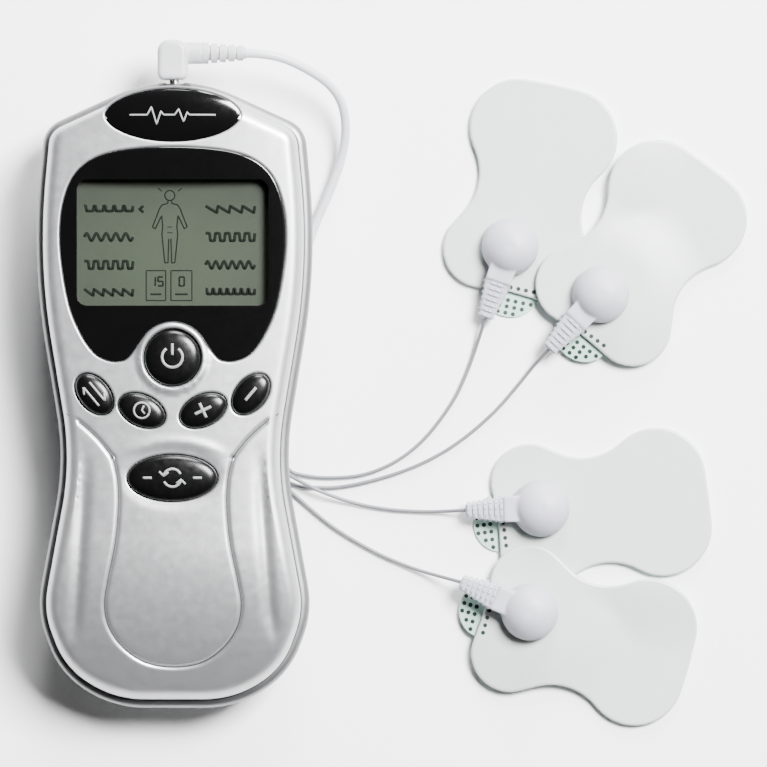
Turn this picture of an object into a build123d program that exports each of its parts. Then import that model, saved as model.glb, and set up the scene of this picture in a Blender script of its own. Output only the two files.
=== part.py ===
from build123d import *
from math import cos, pi, radians, sin, sqrt, tan
import os

# A TENS unit: a handset with a lead set of four snap connectors, each on an electrode pad.
#
# The handset lies on its back. +Z points out of its face, +Y towards the lead jack, +X to its right, and
# the origin is the middle of its flat rest face. The lead set and the pads lie beside it on the same
# surface, z = 0. All sizes are in millimetres.

# ---- driving dimensions: handset --------------------------------------------------------------------

HALF_LENGTH = 60.0
# The corners of the right half of the outline, from the jack end to the nose, and their radii.
OUTLINE_CORNERS = [
    (6.0, 60.0, 27.0),
    (25.0, 51.3, 5.5),
    (27.45, 25.6, 121.0),
    (21.14, -12.3, 51.0),
    (26.5, -41.4, 18.3),
    (22.25, -53.15, 17.0),
    (12.1, -60.0, 21.0),
]
PARTING_Z = 12.0  # where the two shells meet
FACE_Z = 23.0  # the highest line of the crowned face
CROWN_R = 200.0  # the face's crown, across the handset
NOSE_START_Y = -28.0  # where the face starts to roll down towards the nose
NOSE_R = 62.0
WALL = 2.0
RIM_INSET = 1.7  # the front shell stands this far inside the back shell's rim
RIM_WALL = 4.0  # from the back shell's outside to the front shell's inside
EDGE_ROUND = 2.4
SHOULDER_ROUND = 1.6
FLANK_TOP_Z = 9.5  # the back shell's flanks slope from the rest face up to here
FLANK_SCALE = (0.55, 0.82)  # the rest face against the full outline
CAVITY_SCALE = (0.51, 0.79)
CAVITY_TOP_Z = 8.7
CLEARANCE = 0.15  # round the buttons and the battery door
LIP = (3.8, 4.8, 1.1)  # the front shell's lip: outer inset, inner inset and depth below the parting plane

# The right half of the black shield round the display, from its top to the bottom of a lobe.
BEZEL_HALF = [
    (0.0, 47.2),
    (11.5, 46.2),
    (17.8, 43.0),
    (20.8, 37.0),
    (21.5, 28.5),
    (20.0, 18.0),
    (17.7, 11.9),
    (15.1, 8.1),
    (12.5, 6.6),
    (10.0, 6.4),
    (8.2, 7.3),
]
BEZEL_THICKNESS = 1.2
BEZEL_PROUD = 0.2
NOTCH_R = 6.8  # the shield's notch round the power button's ring
NOTCH_END = 34.0  # degrees above level where the notch meets a lobe
DISPLAY_CENTRE = (0.0, 29.0)
WINDOW_OPENING = (36.4, 24.0)
WINDOW_SIZE = (38.6, 25.8)
WINDOW_Z = (19.9, 20.9)
LCD_SIZE = (39.4, 27.0)
LCD_Z = (18.0, 19.9)
LCD_FRAME_SIZE = (41.2, 28.8)
LCD_FRAME_TOP_Z = 19.6
STRIP_SIZE = (36.0, 1.8)
STRIP_SPACING = 23.0

BADGE_CENTRE_Y = 53.2
BADGE_SIZE = (25.2, 9.9)
BADGE_DEPTH = 1.4
BADGE_PROUD = 0.4

# Each button: centre x, centre y, half length, half width, and the turn of its long axis in degrees.
BUTTONS = {
    "power_button": (0.0, 7.1, 5.4, 5.4, 0.0),
    "channel_button": (-14.85, 0.2, 4.5, 2.95, -50.0),
    "time_button": (-5.8, -2.9, 4.74, 3.0, -25.0),
    "strong_button": (5.8, -2.9, 4.74, 3.0, 25.0),
    "weak_button": (14.85, 0.2, 4.5, 2.95, 50.0),
    "mode_button": (0.0, -15.7, 8.56, 4.43, 0.0),
}
BUTTON_PROUD = 1.5
BUTTON_ROUND = 0.9
BUTTON_TRAVEL = 0.8
FLANGE_REACH = 0.4
FLANGE_THICKNESS = 0.8
FLANGE_GAP = 0.4
STEM_R = 1.5
RING_R = (5.6, 6.6)  # the raised ring round the power button
RING_PROUD = 0.5
GROOVE_WIDTH = 0.7
GROOVE_DEPTH = 0.35
# The grooves of the lower face, right half: the closed U from its top to its bottom, and the arm.
GROOVE_LOOP = [(0.0, -8.9), (11.2, -12.6), (10.3, -21.0), (12.8, -38.0), (0.0, -51.9)]
ARM_CENTRE = (15.9, -7.4)
ARM_LENGTH = 11.6
ARM_TURN = 42.0

BOARD_TOP_Z = 16.0
BOARD_THICKNESS = 1.6
BOARD_UNDER_Z = BOARD_TOP_Z - BOARD_THICKNESS
SNAP_DOME_R = 2.2
SNAP_DOME_HEIGHT = 0.45
CAPACITORS = [(-15.0, 38.0), (-9.0, 38.0), (-15.0, 31.0)]

CASE_SCREWS = [(-7.0, 46.2), (7.0, 46.2), (-16.0, -30.0), (16.0, -30.0)]
CASE_SCREW_SEAT_Z = 4.6
CASE_BOSS_Z = 9.0
CASE_SCREW_LENGTH = 12.0
BOARD_SCREWS = [(-14.8, -16.0), (14.8, -16.0), (0.0, 46.2)]

CELL_R = 5.25
CELL_LENGTH = 44.5
CELL_X = 5.4
CELL_Z = 7.4
NUB_R = 1.9
NUB_LENGTH = 0.8
BAY_Y = (-49.2, -1.4)
BAY_HALF = 11.2
BAY_WALL = 1.2
BAY_TOP_Z = 12.8
BAY_CORNER = 3.0  # the bay's floor has round corners up to the step, to stay inside the sloping flanks
BAY_STEP_Z = 3.6
BAY_MOUTH_END_Y = -3.2
CONTACT_THICKNESS = 0.4
SPRING_R = 2.4
SPRING_WIRE_R = 0.3
DOOR_HALF = 10.9
DOOR_THICKNESS = 1.6
DOOR_TOP_Y = -2.2
RAIL_REACH = 0.6  # the rails along the door's sides
RAIL_Z = (0.65, 1.3)
RAIL_Y = (-47.0, -5.0)
GRIP_CENTRE_Y = -11.0

JACK_Z = 12.0
JACK_OPENING_R = 3.1
JACK_BOX_Y = (48.2, 54.6)
JACK_NOSE_Y = 59.5

# ---- driving dimensions: lead set and pads ----------------------------------------------------------

PIN_R = 1.25
PIN_BORE_R = 1.30
PIN_TIP_Y = 49.4
PLUG_FACE_Y = 60.4  # the plug body's face towards the handset
PLUG_AXIS_Y = 65.5
PLUG_X = (-3.2, 2.5)
PLUG_END_Y = 68.0
BARREL_R = 2.1
RELIEF_X = (5.4, 13.7)
RELIEF_CORE_R = (1.5, 1.1)
RELIEF_RING_R = (2.05, 1.45)
RELIEF_RINGS = 5

CORD_R = 0.875
WIRE_R = 0.35
SPLITTER_CENTRE = (19.4, -7.5)
SPLITTER_SIZE = (4.2, 7.0, 2.6)

# The routes: the corners of each cord's path, from where it leaves the plug or the splitter.
MAIN_ROUTE = [
    (13.7, 65.5, 12.0),
    (18.1, 65.5, 12.0),
    (24.4, 63.3, 10.2),
    (31.3, 58.8, 7.0),
    (33.2, 52.0, 4.2),
    (31.6, 43.4, 1.8),
    (24.4, 27.6, 0.9),
    (22.6, 10.0, 0.9),
    (19.4, 1.6, 1.3),
    (19.4, -4.0, 1.3),
]
WIRE_ROUTES = [
    [
        (20.9, -11.0, 1.3),
        (20.9, -13.0, 1.3),
        (21.9, -14.8, 0.8),
        (24.2, -15.55, 0.4),
        (29.2, -16.2, 0.4),
        (37.7, -15.5, 0.4),
        (46.5, -10.6, 0.4),
        (53.4, -1.9, 0.4),
        (56.4, 4.6, 0.4),
        (58.5, 10.7, 1.0),
        (59.75, 14.8, 2.6),
    ],
    [
        (18.9, -11.0, 1.3),
        (18.9, -13.3, 1.3),
        (19.9, -15.7, 0.7),
        (22.0, -17.3, 0.4),
        (25.5, -17.95, 0.4),
        (32.5, -18.0, 0.4),
        (44.2, -14.9, 0.4),
        (53.1, -10.5, 0.4),
        (61.1, -4.0, 0.4),
        (66.6, 2.4, 0.4),
        (69.5, 6.2, 1.6),
        (71.99, 8.77, 4.05),
    ],
    [
        (19.9, -11.0, 1.3),
        (19.9, -13.1, 1.3),
        (21.2, -15.1, 1.9),
        (23.8, -16.65, 2.1),
        (28.3, -18.9, 2.1),
        (34.0, -20.9, 0.6),
        (40.5, -22.2, 0.4),
        (48.0, -22.65, 0.4),
        (52.2, -22.5, 1.0),
        (55.9, -22.28, 2.6),
    ],
    [
        (17.9, -11.0, 1.3),
        (17.9, -13.4, 1.3),
        (18.4, -15.8, 0.7),
        (20.8, -17.45, 0.4),
        (24.6, -20.9, 0.4),
        (30.2, -25.7, 0.4),
        (38.5, -30.6, 0.4),
        (45.5, -33.5, 0.5),
        (50.6, -35.0, 1.7),
        (54.91, -36.08, 4.05),
    ],
]

# Each pad: where its stud stands, the turn of its connector, the turn of its own long axis, and whether
# it lies on its neighbour's edge.
PADS = [
    ((64.5, 28.6), 71.0, 78.0, False),
    ((82.0, 19.4), 46.7, 54.0, True),
    ((70.5, -21.9), 1.5, 7.5, False),
    ((68.3, -41.9), -23.5, -15.5, True),
]
LINER_THICKNESS = 0.25
PAD_THICKNESS = 1.0
OVERLAP_LIFT = 1.45  # an upper pad lies this far above its neighbour's height
# Where a pad's outline crosses its long axis, from the stud, and the corners of one side with their radii:
# two lobes with a waist between them.
PAD_ENDS = (-8.5, 32.6)
PAD_CORNERS = [
    (-10.0, -20.5, 7.5),
    (11.0, -8.5, 11.0),
    (32.0, -22.0, 9.5),
]
PAD_SIDESTEP = -1.8  # the pad's middle line, from the stud
TAB_SIZE = (5.0, 5.7)  # how far the liner's tab sticks out, and its half width

HEAD_R = 5.5  # a snap connector's domed head
HEAD_WALL = 1.2
HEAD_HEIGHT = 5.4
SNAP_GAP = 0.4  # under a connector, above its pad
NECK_LENGTH = 7.2
NECK_SIZE = (5.0, 3.2)
FAN_END = 14.6  # from the stud to the tip of the fan-shaped strain relief
FAN_ROOT_SIZE = (5.0, 2.8)
FAN_TIP_SIZE = (2.6, 1.9)
STUD_R = 1.95
STUD_HEIGHT = 2.6
STUD_FLANGE_R = 4.4
STUD_FLANGE = 0.3
SOCKET_R = (2.0, 3.0)
SOCKET_HEIGHT = 1.6
SOCKET_DEPTH = 2.6


# ---- helpers ----------------------------------------------------------------------------------------


def save(piece, name):
    """Labels the finished piece and writes its STEP file."""
    piece.part.label = name
    export_step(piece.part, f"parts/{name}.step")


def unit(start, end):
    return (Vector(*end) - Vector(*start)).normalized()


def largest_radii(points):
    """For each corner, the radius whose arc takes 0.45 of the shorter run beside it."""
    radii = []
    for before, here, after in zip(points, points[1:], points[2:]):
        shorter = min((Vector(*here) - Vector(*before)).length, (Vector(*after) - Vector(*here)).length)
        half_turn = unit(before, here).get_angle(unit(here, after)) / 2
        radii.append(0.45 * shorter / tan(radians(half_turn)))
    return radii


def case_face(inset=0.0, scale=(1.0, 1.0)):
    """The handset's outline, moved inwards or scaled about the origin."""
    corners = [(x * scale[0], y * scale[1]) for x, y, radius in OUTLINE_CORNERS]
    points = [(0, HALF_LENGTH * scale[1]), *corners, (0, -HALF_LENGTH * scale[1])]
    radii = [radius * sum(scale) / 2 for x, y, radius in OUTLINE_CORNERS]
    if scale != (1.0, 1.0):
        radii = [min(pair) for pair in zip(radii, largest_radii(points))]
    with BuildSketch() as sketch:
        with BuildLine():
            FilletPolyline(*points, radius=radii)
            mirror(about=Plane.YZ)
        make_face()
        if inset:
            offset(amount=-inset)
    return sketch.sketch


def under_face(lift):
    """All the space under the crowned face raised by lift: a ring about the crown's axis."""
    top = FACE_Z + lift
    with BuildPart() as ring:
        with BuildSketch(Plane.YZ):
            with BuildLine():
                Line((HALF_LENGTH + 10, top), (NOSE_START_Y, top))
                roll = CenterArc((NOSE_START_Y, top - NOSE_R), NOSE_R, 90, 40)
                Polyline(
                    roll @ 1,
                    (-HALF_LENGTH - 10, (roll @ 1).Y),
                    (-HALF_LENGTH - 10, -8),
                    (HALF_LENGTH + 10, -8),
                    (HALF_LENGTH + 10, top),
                )
            make_face()
        revolve(axis=Axis((0, 0, FACE_Z - CROWN_R), (0, 1, 0)))
    return ring.part


def face_height(x, y):
    """How high the crowned face stands at a point."""
    drop = 0.0
    if y < NOSE_START_Y:
        drop = NOSE_R - sqrt(NOSE_R**2 - (NOSE_START_Y - y) ** 2)
    return FACE_Z - CROWN_R + sqrt((CROWN_R - drop) ** 2 - x**2)


def prism(outline, low, high):
    with BuildPart() as block:
        with BuildSketch(Plane.XY.offset(low)):
            add(outline)
        extrude(amount=high - low)
    return block.part


def crowned(outline, low, lift=0.0):
    """The outline's prism from low up to the crowned face raised by lift."""
    with BuildPart() as block:
        add(prism(outline, low, FACE_Z + 6))
        add(under_face(lift), mode=Mode.INTERSECT)
    return block.part


def above_face(outline, lift):
    """The outline's prism above the crowned face raised by lift, to cut a pocket or a groove."""
    with BuildPart() as block:
        add(prism(outline, PARTING_Z, FACE_Z + 6))
        add(under_face(lift), mode=Mode.SUBTRACT)
    return block.part


def circles(centres, radius):
    with BuildSketch() as sketch:
        with Locations(*centres):
            Circle(radius)
    return sketch.sketch


def rectangle(size, centre=(0.0, 0.0), corner=0.0):
    with BuildSketch() as sketch:
        with Locations(centre):
            if corner:
                RectangleRounded(*size, corner)
            else:
                Rectangle(*size)
    return sketch.sketch


def button_face(name, grow=0.0):
    x, y, half_length, half_width, turn = BUTTONS[name]
    with BuildSketch() as sketch:
        with Locations(Location((x, y, 0), (0, 0, turn))):
            Ellipse(half_length + grow, half_width + grow)
    return sketch.sketch


def bezel_face():
    """The black shield round the display, with its notch round the power button's ring."""
    centre_x, centre_y = BUTTONS["power_button"][:2]
    end_x = centre_x + NOTCH_R * cos(radians(NOTCH_END))
    end_y = centre_y + NOTCH_R * sin(radians(NOTCH_END))
    with BuildSketch() as sketch:
        with BuildLine():
            notch_way = (-sin(radians(NOTCH_END)), cos(radians(NOTCH_END)))
            Spline(*BEZEL_HALF, (end_x, end_y), tangents=((1, 0), notch_way))
            CenterArc((centre_x, centre_y), NOTCH_R, NOTCH_END, 90 - NOTCH_END)
            mirror(about=Plane.YZ)
        make_face()
    return sketch.sketch


def badge_face(grow=0.0):
    """A lens of two arcs, its tips a little rounded."""
    half_length, half_width = BADGE_SIZE[0] / 2 + grow, BADGE_SIZE[1] / 2 + grow
    left, right = (-half_length, BADGE_CENTRE_Y), (half_length, BADGE_CENTRE_Y)
    with BuildSketch() as sketch:
        with BuildLine():
            ThreePointArc(left, (0, BADGE_CENTRE_Y + half_width), right)
            ThreePointArc(right, (0, BADGE_CENTRE_Y - half_width), left)
        make_face()
        fillet(sketch.vertices(), radius=1.6)
    return sketch.sketch


def loop_face(points):
    """A closed loop, the same on both sides, through the points of its right half."""
    with BuildSketch() as sketch:
        with BuildLine():
            Spline(*points, tangents=((1, 0), (-1, 0)))
            mirror(about=Plane.YZ)
        make_face()
    return sketch.sketch


def groove_face():
    """The grooves of the lower face: a long closed U under an arc, and a straight arm to each side."""
    middle = Vector(0, GROOVE_LOOP[-1][1] / 2 + GROOVE_LOOP[0][1] / 2)
    inner_edge = []
    for point in GROOVE_LOOP:
        inward = (middle - Vector(*point)).normalized() * GROOVE_WIDTH
        inner_edge.append((point[0] + inward.X, point[1] + inward.Y))
    with BuildSketch() as sketch:
        add(loop_face(GROOVE_LOOP))
        add(loop_face(inner_edge), mode=Mode.SUBTRACT)
        for side in (-1, 1):
            with Locations(Location((side * ARM_CENTRE[0], ARM_CENTRE[1], 0), (0, 0, side * ARM_TURN))):
                SlotOverall(ARM_LENGTH, GROOVE_WIDTH)
    return sketch.sketch


def pad_face(tab=False):
    """A butterfly-shaped pad in its own frame: the stud at the origin, the long axis along X."""
    corners = [(x, y) for x, y, radius in PAD_CORNERS]
    radii = [radius for x, y, radius in PAD_CORNERS]
    with BuildSketch() as whole:
        with BuildLine():
            FilletPolyline((PAD_ENDS[0], 0), *corners, (PAD_ENDS[1], 0), radius=radii)
            mirror(about=Plane.XZ)
        make_face()
        if tab:
            with Locations((PAD_ENDS[0], 0)):
                Ellipse(*TAB_SIZE)
    with BuildSketch() as sketch:
        with Locations((0, PAD_SIDESTEP)):
            add(whole.sketch)
    return sketch.sketch


def turned_plane(centre, height, turn):
    """A level plane at a height, its X axis turned, for the pads and their connectors."""
    along = (cos(radians(turn)), sin(radians(turn)), 0)
    return Plane(origin=(*centre, height), x_dir=along, z_dir=(0, 0, 1))


def make_cord(name, route, radius):
    """A tube along straight runs joined by tangent arcs."""
    radii = largest_radii(route)
    with BuildPart() as cord:
        with BuildLine() as path:
            FilletPolyline(*route, radius=radii)
        with BuildSketch(Plane(origin=route[0], z_dir=unit(route[0], route[1]))):
            Circle(radius)
        sweep()
    length = sum(edge.length for edge in path.edges())
    share = cord.part.volume / (pi * radius**2 * length)
    tightest = round(min(radii) / (2 * radius), 1)
    print(name, "radii", [round(r, 1) for r in radii], "tightest", tightest, "diameters")
    print(name, "length", round(length, 1), "volume against section x length", round(share, 4))
    save(cord, name)


os.makedirs("parts", exist_ok=True)

# ---- back shell and battery door --------------------------------------------------------------------

with BuildPart() as back_body:
    with BuildSketch(Plane.XY):
        add(case_face(scale=FLANK_SCALE))
    with BuildSketch(Plane.XY.offset(FLANK_TOP_Z)):
        add(case_face())
    loft(ruled=True)
    add(prism(case_face(), FLANK_TOP_Z, PARTING_Z))
    fillet(back_body.faces().sort_by(Axis.Z)[-1].edges(), radius=SHOULDER_ROUND)

with BuildPart() as back_cavity:
    with BuildSketch(Plane.XY.offset(WALL)):
        add(case_face(scale=CAVITY_SCALE))
    with BuildSketch(Plane.XY.offset(CAVITY_TOP_Z)):
        add(case_face(RIM_WALL - 0.3))
    loft(ruled=True)
    add(prism(case_face(RIM_WALL - 0.3), CAVITY_TOP_Z, PARTING_Z + 1))

bay_length = BAY_Y[1] - BAY_Y[0]
bay_centre = (0, (BAY_Y[0] + BAY_Y[1]) / 2)
channel_top_y = DOOR_TOP_Y + CLEARANCE
channel_centre = (0, (channel_top_y - HALF_LENGTH) / 2)
channel_length = channel_top_y + HALF_LENGTH
channel_top_z = DOOR_THICKNESS + CLEARANCE

bay_outside = rectangle((2 * (BAY_HALF + BAY_WALL), bay_length + 2 * BAY_WALL), bay_centre)
mouth_length = BAY_MOUTH_END_Y - BAY_Y[0]
mouth_centre = (0, (BAY_Y[0] + BAY_MOUTH_END_Y) / 2)

# What stands inside the lower shell: the battery bay's walls and the bosses of the case screws.
with BuildPart() as back_inside:
    add(prism(bay_outside, WALL / 2, PARTING_Z))
    add(prism(circles(CASE_SCREWS, 2.9), CASE_SCREW_SEAT_Z - 1.6, CASE_BOSS_Z))
    add(back_body.part, mode=Mode.INTERSECT)

with BuildPart() as back_shell:
    add(back_body.part)
    add(back_cavity.part, mode=Mode.SUBTRACT)
    add(back_inside.part)
    # The battery bay's roof, its inside, and its mouth.
    add(prism(bay_outside, PARTING_Z, BAY_TOP_Z + BAY_WALL))
    bay_floor = rectangle((2 * BAY_HALF, bay_length), bay_centre, BAY_CORNER)
    add(prism(rectangle((2 * BAY_HALF, bay_length), bay_centre), BAY_STEP_Z, BAY_TOP_Z), mode=Mode.SUBTRACT)
    add(prism(bay_floor, channel_top_z + 0.4, BAY_STEP_Z), mode=Mode.SUBTRACT)
    mouth = rectangle((2 * (DOOR_HALF + CLEARANCE), mouth_length), mouth_centre, BAY_CORNER)
    add(prism(mouth, 0, channel_top_z + 0.4), mode=Mode.SUBTRACT)
    # The channel that the door slides in, with a groove for each of its rails.
    channel = rectangle((2 * (DOOR_HALF + CLEARANCE), channel_length), channel_centre)
    rail_groove = rectangle((2 * (DOOR_HALF + RAIL_REACH + CLEARANCE), channel_length), channel_centre)
    add(prism(channel, -1, channel_top_z), mode=Mode.SUBTRACT)
    add(prism(rail_groove, RAIL_Z[0] - CLEARANCE / 2, RAIL_Z[1] + CLEARANCE / 2), mode=Mode.SUBTRACT)
    # In each boss, a seat for its screw's head and a hole for the shaft.
    add(prism(circles(CASE_SCREWS, 2.1), -1, CASE_SCREW_SEAT_Z), mode=Mode.SUBTRACT)
    add(prism(circles(CASE_SCREWS, 1.1), 0, CASE_BOSS_Z + 1), mode=Mode.SUBTRACT)
    # The lower half of the jack's opening.
    with BuildSketch(Plane.XZ.offset(-HALF_LENGTH - 2)):
        with Locations((0, JACK_Z)):
            Circle(JACK_OPENING_R)
    extrude(amount=8, mode=Mode.SUBTRACT)
save(back_shell, "back_shell")

rail_length = RAIL_Y[1] - RAIL_Y[0]
rail_centre = (0, (RAIL_Y[0] + RAIL_Y[1]) / 2)
with BuildPart() as battery_door:
    door_length = DOOR_TOP_Y + HALF_LENGTH
    door_outline = rectangle((2 * DOOR_HALF, door_length), (0, (DOOR_TOP_Y - HALF_LENGTH) / 2))
    add(prism(door_outline, 0, DOOR_THICKNESS))
    add(back_body.part, mode=Mode.INTERSECT)
    add(prism(rectangle((2 * (DOOR_HALF + RAIL_REACH), rail_length), rail_centre), *RAIL_Z))
    # The thumb grip: a shallow slot with four ribs.
    with BuildSketch(Plane.XY):
        with Locations((0, GRIP_CENTRE_Y)):
            SlotOverall(14, 8)
    extrude(amount=0.7, mode=Mode.SUBTRACT)
    with BuildSketch(Plane.XY.offset(0.1)):
        with Locations((0, GRIP_CENTRE_Y)):
            with GridLocations(1, 1.7, 1, 4):
                Rectangle(7.5, 0.7)
    extrude(amount=0.7)
save(battery_door, "battery_door")

# ---- front shell ------------------------------------------------------------------------------------

with BuildPart() as front_body:
    add(crowned(case_face(RIM_INSET), PARTING_Z))
    face_patches = front_body.faces().filter_by(lambda f: f.normal_at(f.center()).Z > 0.5)
    wall_patches = front_body.faces().filter_by(lambda f: abs(f.normal_at(f.center()).Z) < 0.1)
    face_edges = [edge for patch in face_patches for edge in patch.edges()]
    wall_edges = [edge for patch in wall_patches for edge in patch.edges()]
    rolled = [edge for edge in face_edges if any(edge.is_same(other) for other in wall_edges)]
    fillet(rolled, radius=EDGE_ROUND)

with BuildPart() as front_shell:
    add(front_body.part)
    add(crowned(case_face(RIM_WALL), PARTING_Z, -WALL), mode=Mode.SUBTRACT)
    # The lip that drops inside the back shell's rim.
    lip_outer, lip_inner, lip_depth = LIP
    with BuildSketch(Plane.XY.offset(PARTING_Z - lip_depth)):
        add(case_face(lip_outer))
        add(case_face(lip_inner), mode=Mode.SUBTRACT)
    extrude(amount=2 * lip_depth)
    # Bosses for the case screws and posts for the board.
    add(crowned(circles(CASE_SCREWS, 2.4), CASE_BOSS_Z, -WALL / 2))
    add(crowned(circles(BOARD_SCREWS, 2.0), BOARD_TOP_Z, -WALL / 2))
    pilot_top_z = CASE_SCREW_SEAT_Z + CASE_SCREW_LENGTH + 0.6
    add(prism(circles(CASE_SCREWS, 1.0), CASE_BOSS_Z, pilot_top_z), mode=Mode.SUBTRACT)
    add(prism(circles(BOARD_SCREWS, 0.8), BOARD_TOP_Z, BOARD_TOP_Z + 3.8), mode=Mode.SUBTRACT)
    # The raised ring, the pockets of the shield and the badge, and the window's opening.
    add(crowned(circles([BUTTONS["power_button"][:2]], RING_R[1]), FACE_Z - WALL / 2, RING_PROUD))
    add(above_face(bezel_face(), BEZEL_PROUD - BEZEL_THICKNESS), mode=Mode.SUBTRACT)
    add(prism(badge_face(0.1), FACE_Z - BADGE_DEPTH, FACE_Z + 2), mode=Mode.SUBTRACT)
    opening = rectangle((WINDOW_SIZE[0] + 0.4, WINDOW_SIZE[1] + 0.4), DISPLAY_CENTRE)
    add(prism(opening, PARTING_Z, FACE_Z + 2), mode=Mode.SUBTRACT)
    for name in BUTTONS:
        add(prism(button_face(name, CLEARANCE), PARTING_Z, FACE_Z + 2), mode=Mode.SUBTRACT)
    # The upper half of the jack's opening, and the grooves.
    with BuildSketch(Plane.XZ.offset(-HALF_LENGTH - 2)):
        with Locations((0, JACK_Z)):
            Circle(JACK_OPENING_R)
    extrude(amount=8, mode=Mode.SUBTRACT)
    add(above_face(groove_face(), -GROOVE_DEPTH), mode=Mode.SUBTRACT)
save(front_shell, "front_shell")

# ---- display and badge ------------------------------------------------------------------------------

with BuildPart() as display_bezel:
    add(crowned(bezel_face(), PARTING_Z, BEZEL_PROUD))
    add(under_face(BEZEL_PROUD - BEZEL_THICKNESS), mode=Mode.SUBTRACT)
    add(prism(rectangle(WINDOW_OPENING, DISPLAY_CENTRE, 2.0), PARTING_Z, FACE_Z + 2), mode=Mode.SUBTRACT)
save(display_bezel, "display_bezel")

with BuildPart() as display_window:
    add(prism(rectangle(WINDOW_SIZE, DISPLAY_CENTRE), *WINDOW_Z))
save(display_window, "display_window")

with BuildPart() as lcd_panel:
    add(prism(rectangle(LCD_SIZE, DISPLAY_CENTRE), *LCD_Z))
save(lcd_panel, "lcd_panel")

with BuildPart() as lcd_frame:
    add(prism(rectangle(LCD_FRAME_SIZE, DISPLAY_CENTRE), BOARD_TOP_Z, LCD_FRAME_TOP_Z))
    inside = (LCD_SIZE[0] + 0.2, LCD_SIZE[1] + 0.2)
    add(prism(rectangle(inside, DISPLAY_CENTRE), BOARD_TOP_Z, LCD_FRAME_TOP_Z), mode=Mode.SUBTRACT)
save(lcd_frame, "lcd_frame")

with BuildPart() as contact_strips:
    with BuildSketch(Plane.XY.offset(BOARD_TOP_Z)):
        with Locations(DISPLAY_CENTRE):
            with GridLocations(1, STRIP_SPACING, 1, 2):
                Rectangle(*STRIP_SIZE)
    extrude(amount=LCD_Z[0] - BOARD_TOP_Z)
save(contact_strips, "contact_strips")

with BuildPart() as badge_plate:
    add(crowned(badge_face(), FACE_Z - BADGE_DEPTH, BADGE_PROUD))
save(badge_plate, "badge_plate")

# ---- buttons ----------------------------------------------------------------------------------------

stem_z = BOARD_TOP_Z + SNAP_DOME_HEIGHT + BUTTON_TRAVEL + 0.1
for name, (x, y, half_length, half_width, turn) in BUTTONS.items():
    face_z = face_height(x, y)
    flange_top = face_z - WALL - FLANGE_GAP
    with BuildPart() as button:
        add(prism(button_face(name), flange_top, face_z + BUTTON_PROUD))
        fillet(button.faces().sort_by(Axis.Z)[-1].edges(), radius=BUTTON_ROUND)
        add(prism(button_face(name, FLANGE_REACH), flange_top - FLANGE_THICKNESS, flange_top))
        add(prism(circles([(x, y)], STEM_R), stem_z, flange_top))
    save(button, name)

# ---- circuit board and what it carries --------------------------------------------------------------

with BuildPart() as circuit_board:
    with BuildSketch(Plane.XY.offset(BOARD_UNDER_Z)):
        add(rectangle((41.6, 30.1), (0, 28.55)))
        add(rectangle((34.6, 34.6), (0, -3.7)))
        add(rectangle((8.4, 11.4), (0, 48.7)))
        add(circles(BOARD_SCREWS, 0.95), mode=Mode.SUBTRACT)
    extrude(amount=BOARD_THICKNESS)
save(circuit_board, "circuit_board")

with BuildPart() as snap_domes:
    centres = [(x, y) for x, y, half_length, half_width, turn in BUTTONS.values()]
    add(prism(circles(centres, SNAP_DOME_R), BOARD_TOP_Z, BOARD_TOP_Z + SNAP_DOME_HEIGHT))
    fillet(snap_domes.faces().group_by(Axis.Z)[-1].edges(), radius=0.4)
save(snap_domes, "snap_domes")

with BuildPart() as controller_chip:
    add(prism(rectangle((8, 8), (0, 27)), BOARD_TOP_Z, BOARD_TOP_Z + 1.2))
    chamfer(controller_chip.faces().sort_by(Axis.Z)[-1].edges(), length=0.2)
save(controller_chip, "controller_chip")

with BuildPart() as output_transformer:
    add(prism(rectangle((10, 5), (11, 30)), BOARD_UNDER_Z - 7, BOARD_UNDER_Z))
    add(prism(rectangle((6.5, 9), (11, 30)), BOARD_UNDER_Z - 6, BOARD_UNDER_Z - 1))
save(output_transformer, "output_transformer")

with BuildPart() as capacitors:
    add(prism(circles(CAPACITORS, 2.4), BOARD_UNDER_Z - 7, BOARD_UNDER_Z))
    fillet(capacitors.faces().group_by(Axis.Z)[0].edges(), radius=0.4)
save(capacitors, "capacitors")

with BuildPart() as buzzer:
    add(prism(circles([(-9, 21)], 6.0), BOARD_UNDER_Z - 3.8, BOARD_UNDER_Z))
    add(prism(circles([(-9, 21)], 1.0), BOARD_UNDER_Z - 3.8, BOARD_UNDER_Z - 2.5), mode=Mode.SUBTRACT)
save(buzzer, "buzzer")

with BuildPart() as lead_jack:
    box_length = JACK_BOX_Y[1] - JACK_BOX_Y[0]
    box_face = rectangle((7.0, box_length), (0, sum(JACK_BOX_Y) / 2))
    add(prism(box_face, 2 * JACK_Z - BOARD_UNDER_Z, BOARD_UNDER_Z))
    with BuildSketch(Plane.XZ.offset(-JACK_NOSE_Y)):
        with Locations((0, JACK_Z)):
            Circle(JACK_OPENING_R - 0.15)
    extrude(amount=JACK_NOSE_Y - JACK_BOX_Y[1] + 1, mode=Mode.ADD)
    jack_relief = rectangle((7.0, 2.0), (0, JACK_BOX_Y[1] - 1.0))
    add(prism(jack_relief, BOARD_UNDER_Z, BOARD_UNDER_Z + 3), mode=Mode.SUBTRACT)
    with BuildSketch(Plane.XZ.offset(-JACK_NOSE_Y)):
        with Locations((0, JACK_Z)):
            Circle(PIN_BORE_R)
    extrude(amount=JACK_NOSE_Y - PIN_TIP_Y + 0.5, mode=Mode.SUBTRACT)
save(lead_jack, "lead_jack")

# ---- screws -----------------------------------------------------------------------------------------

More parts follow.
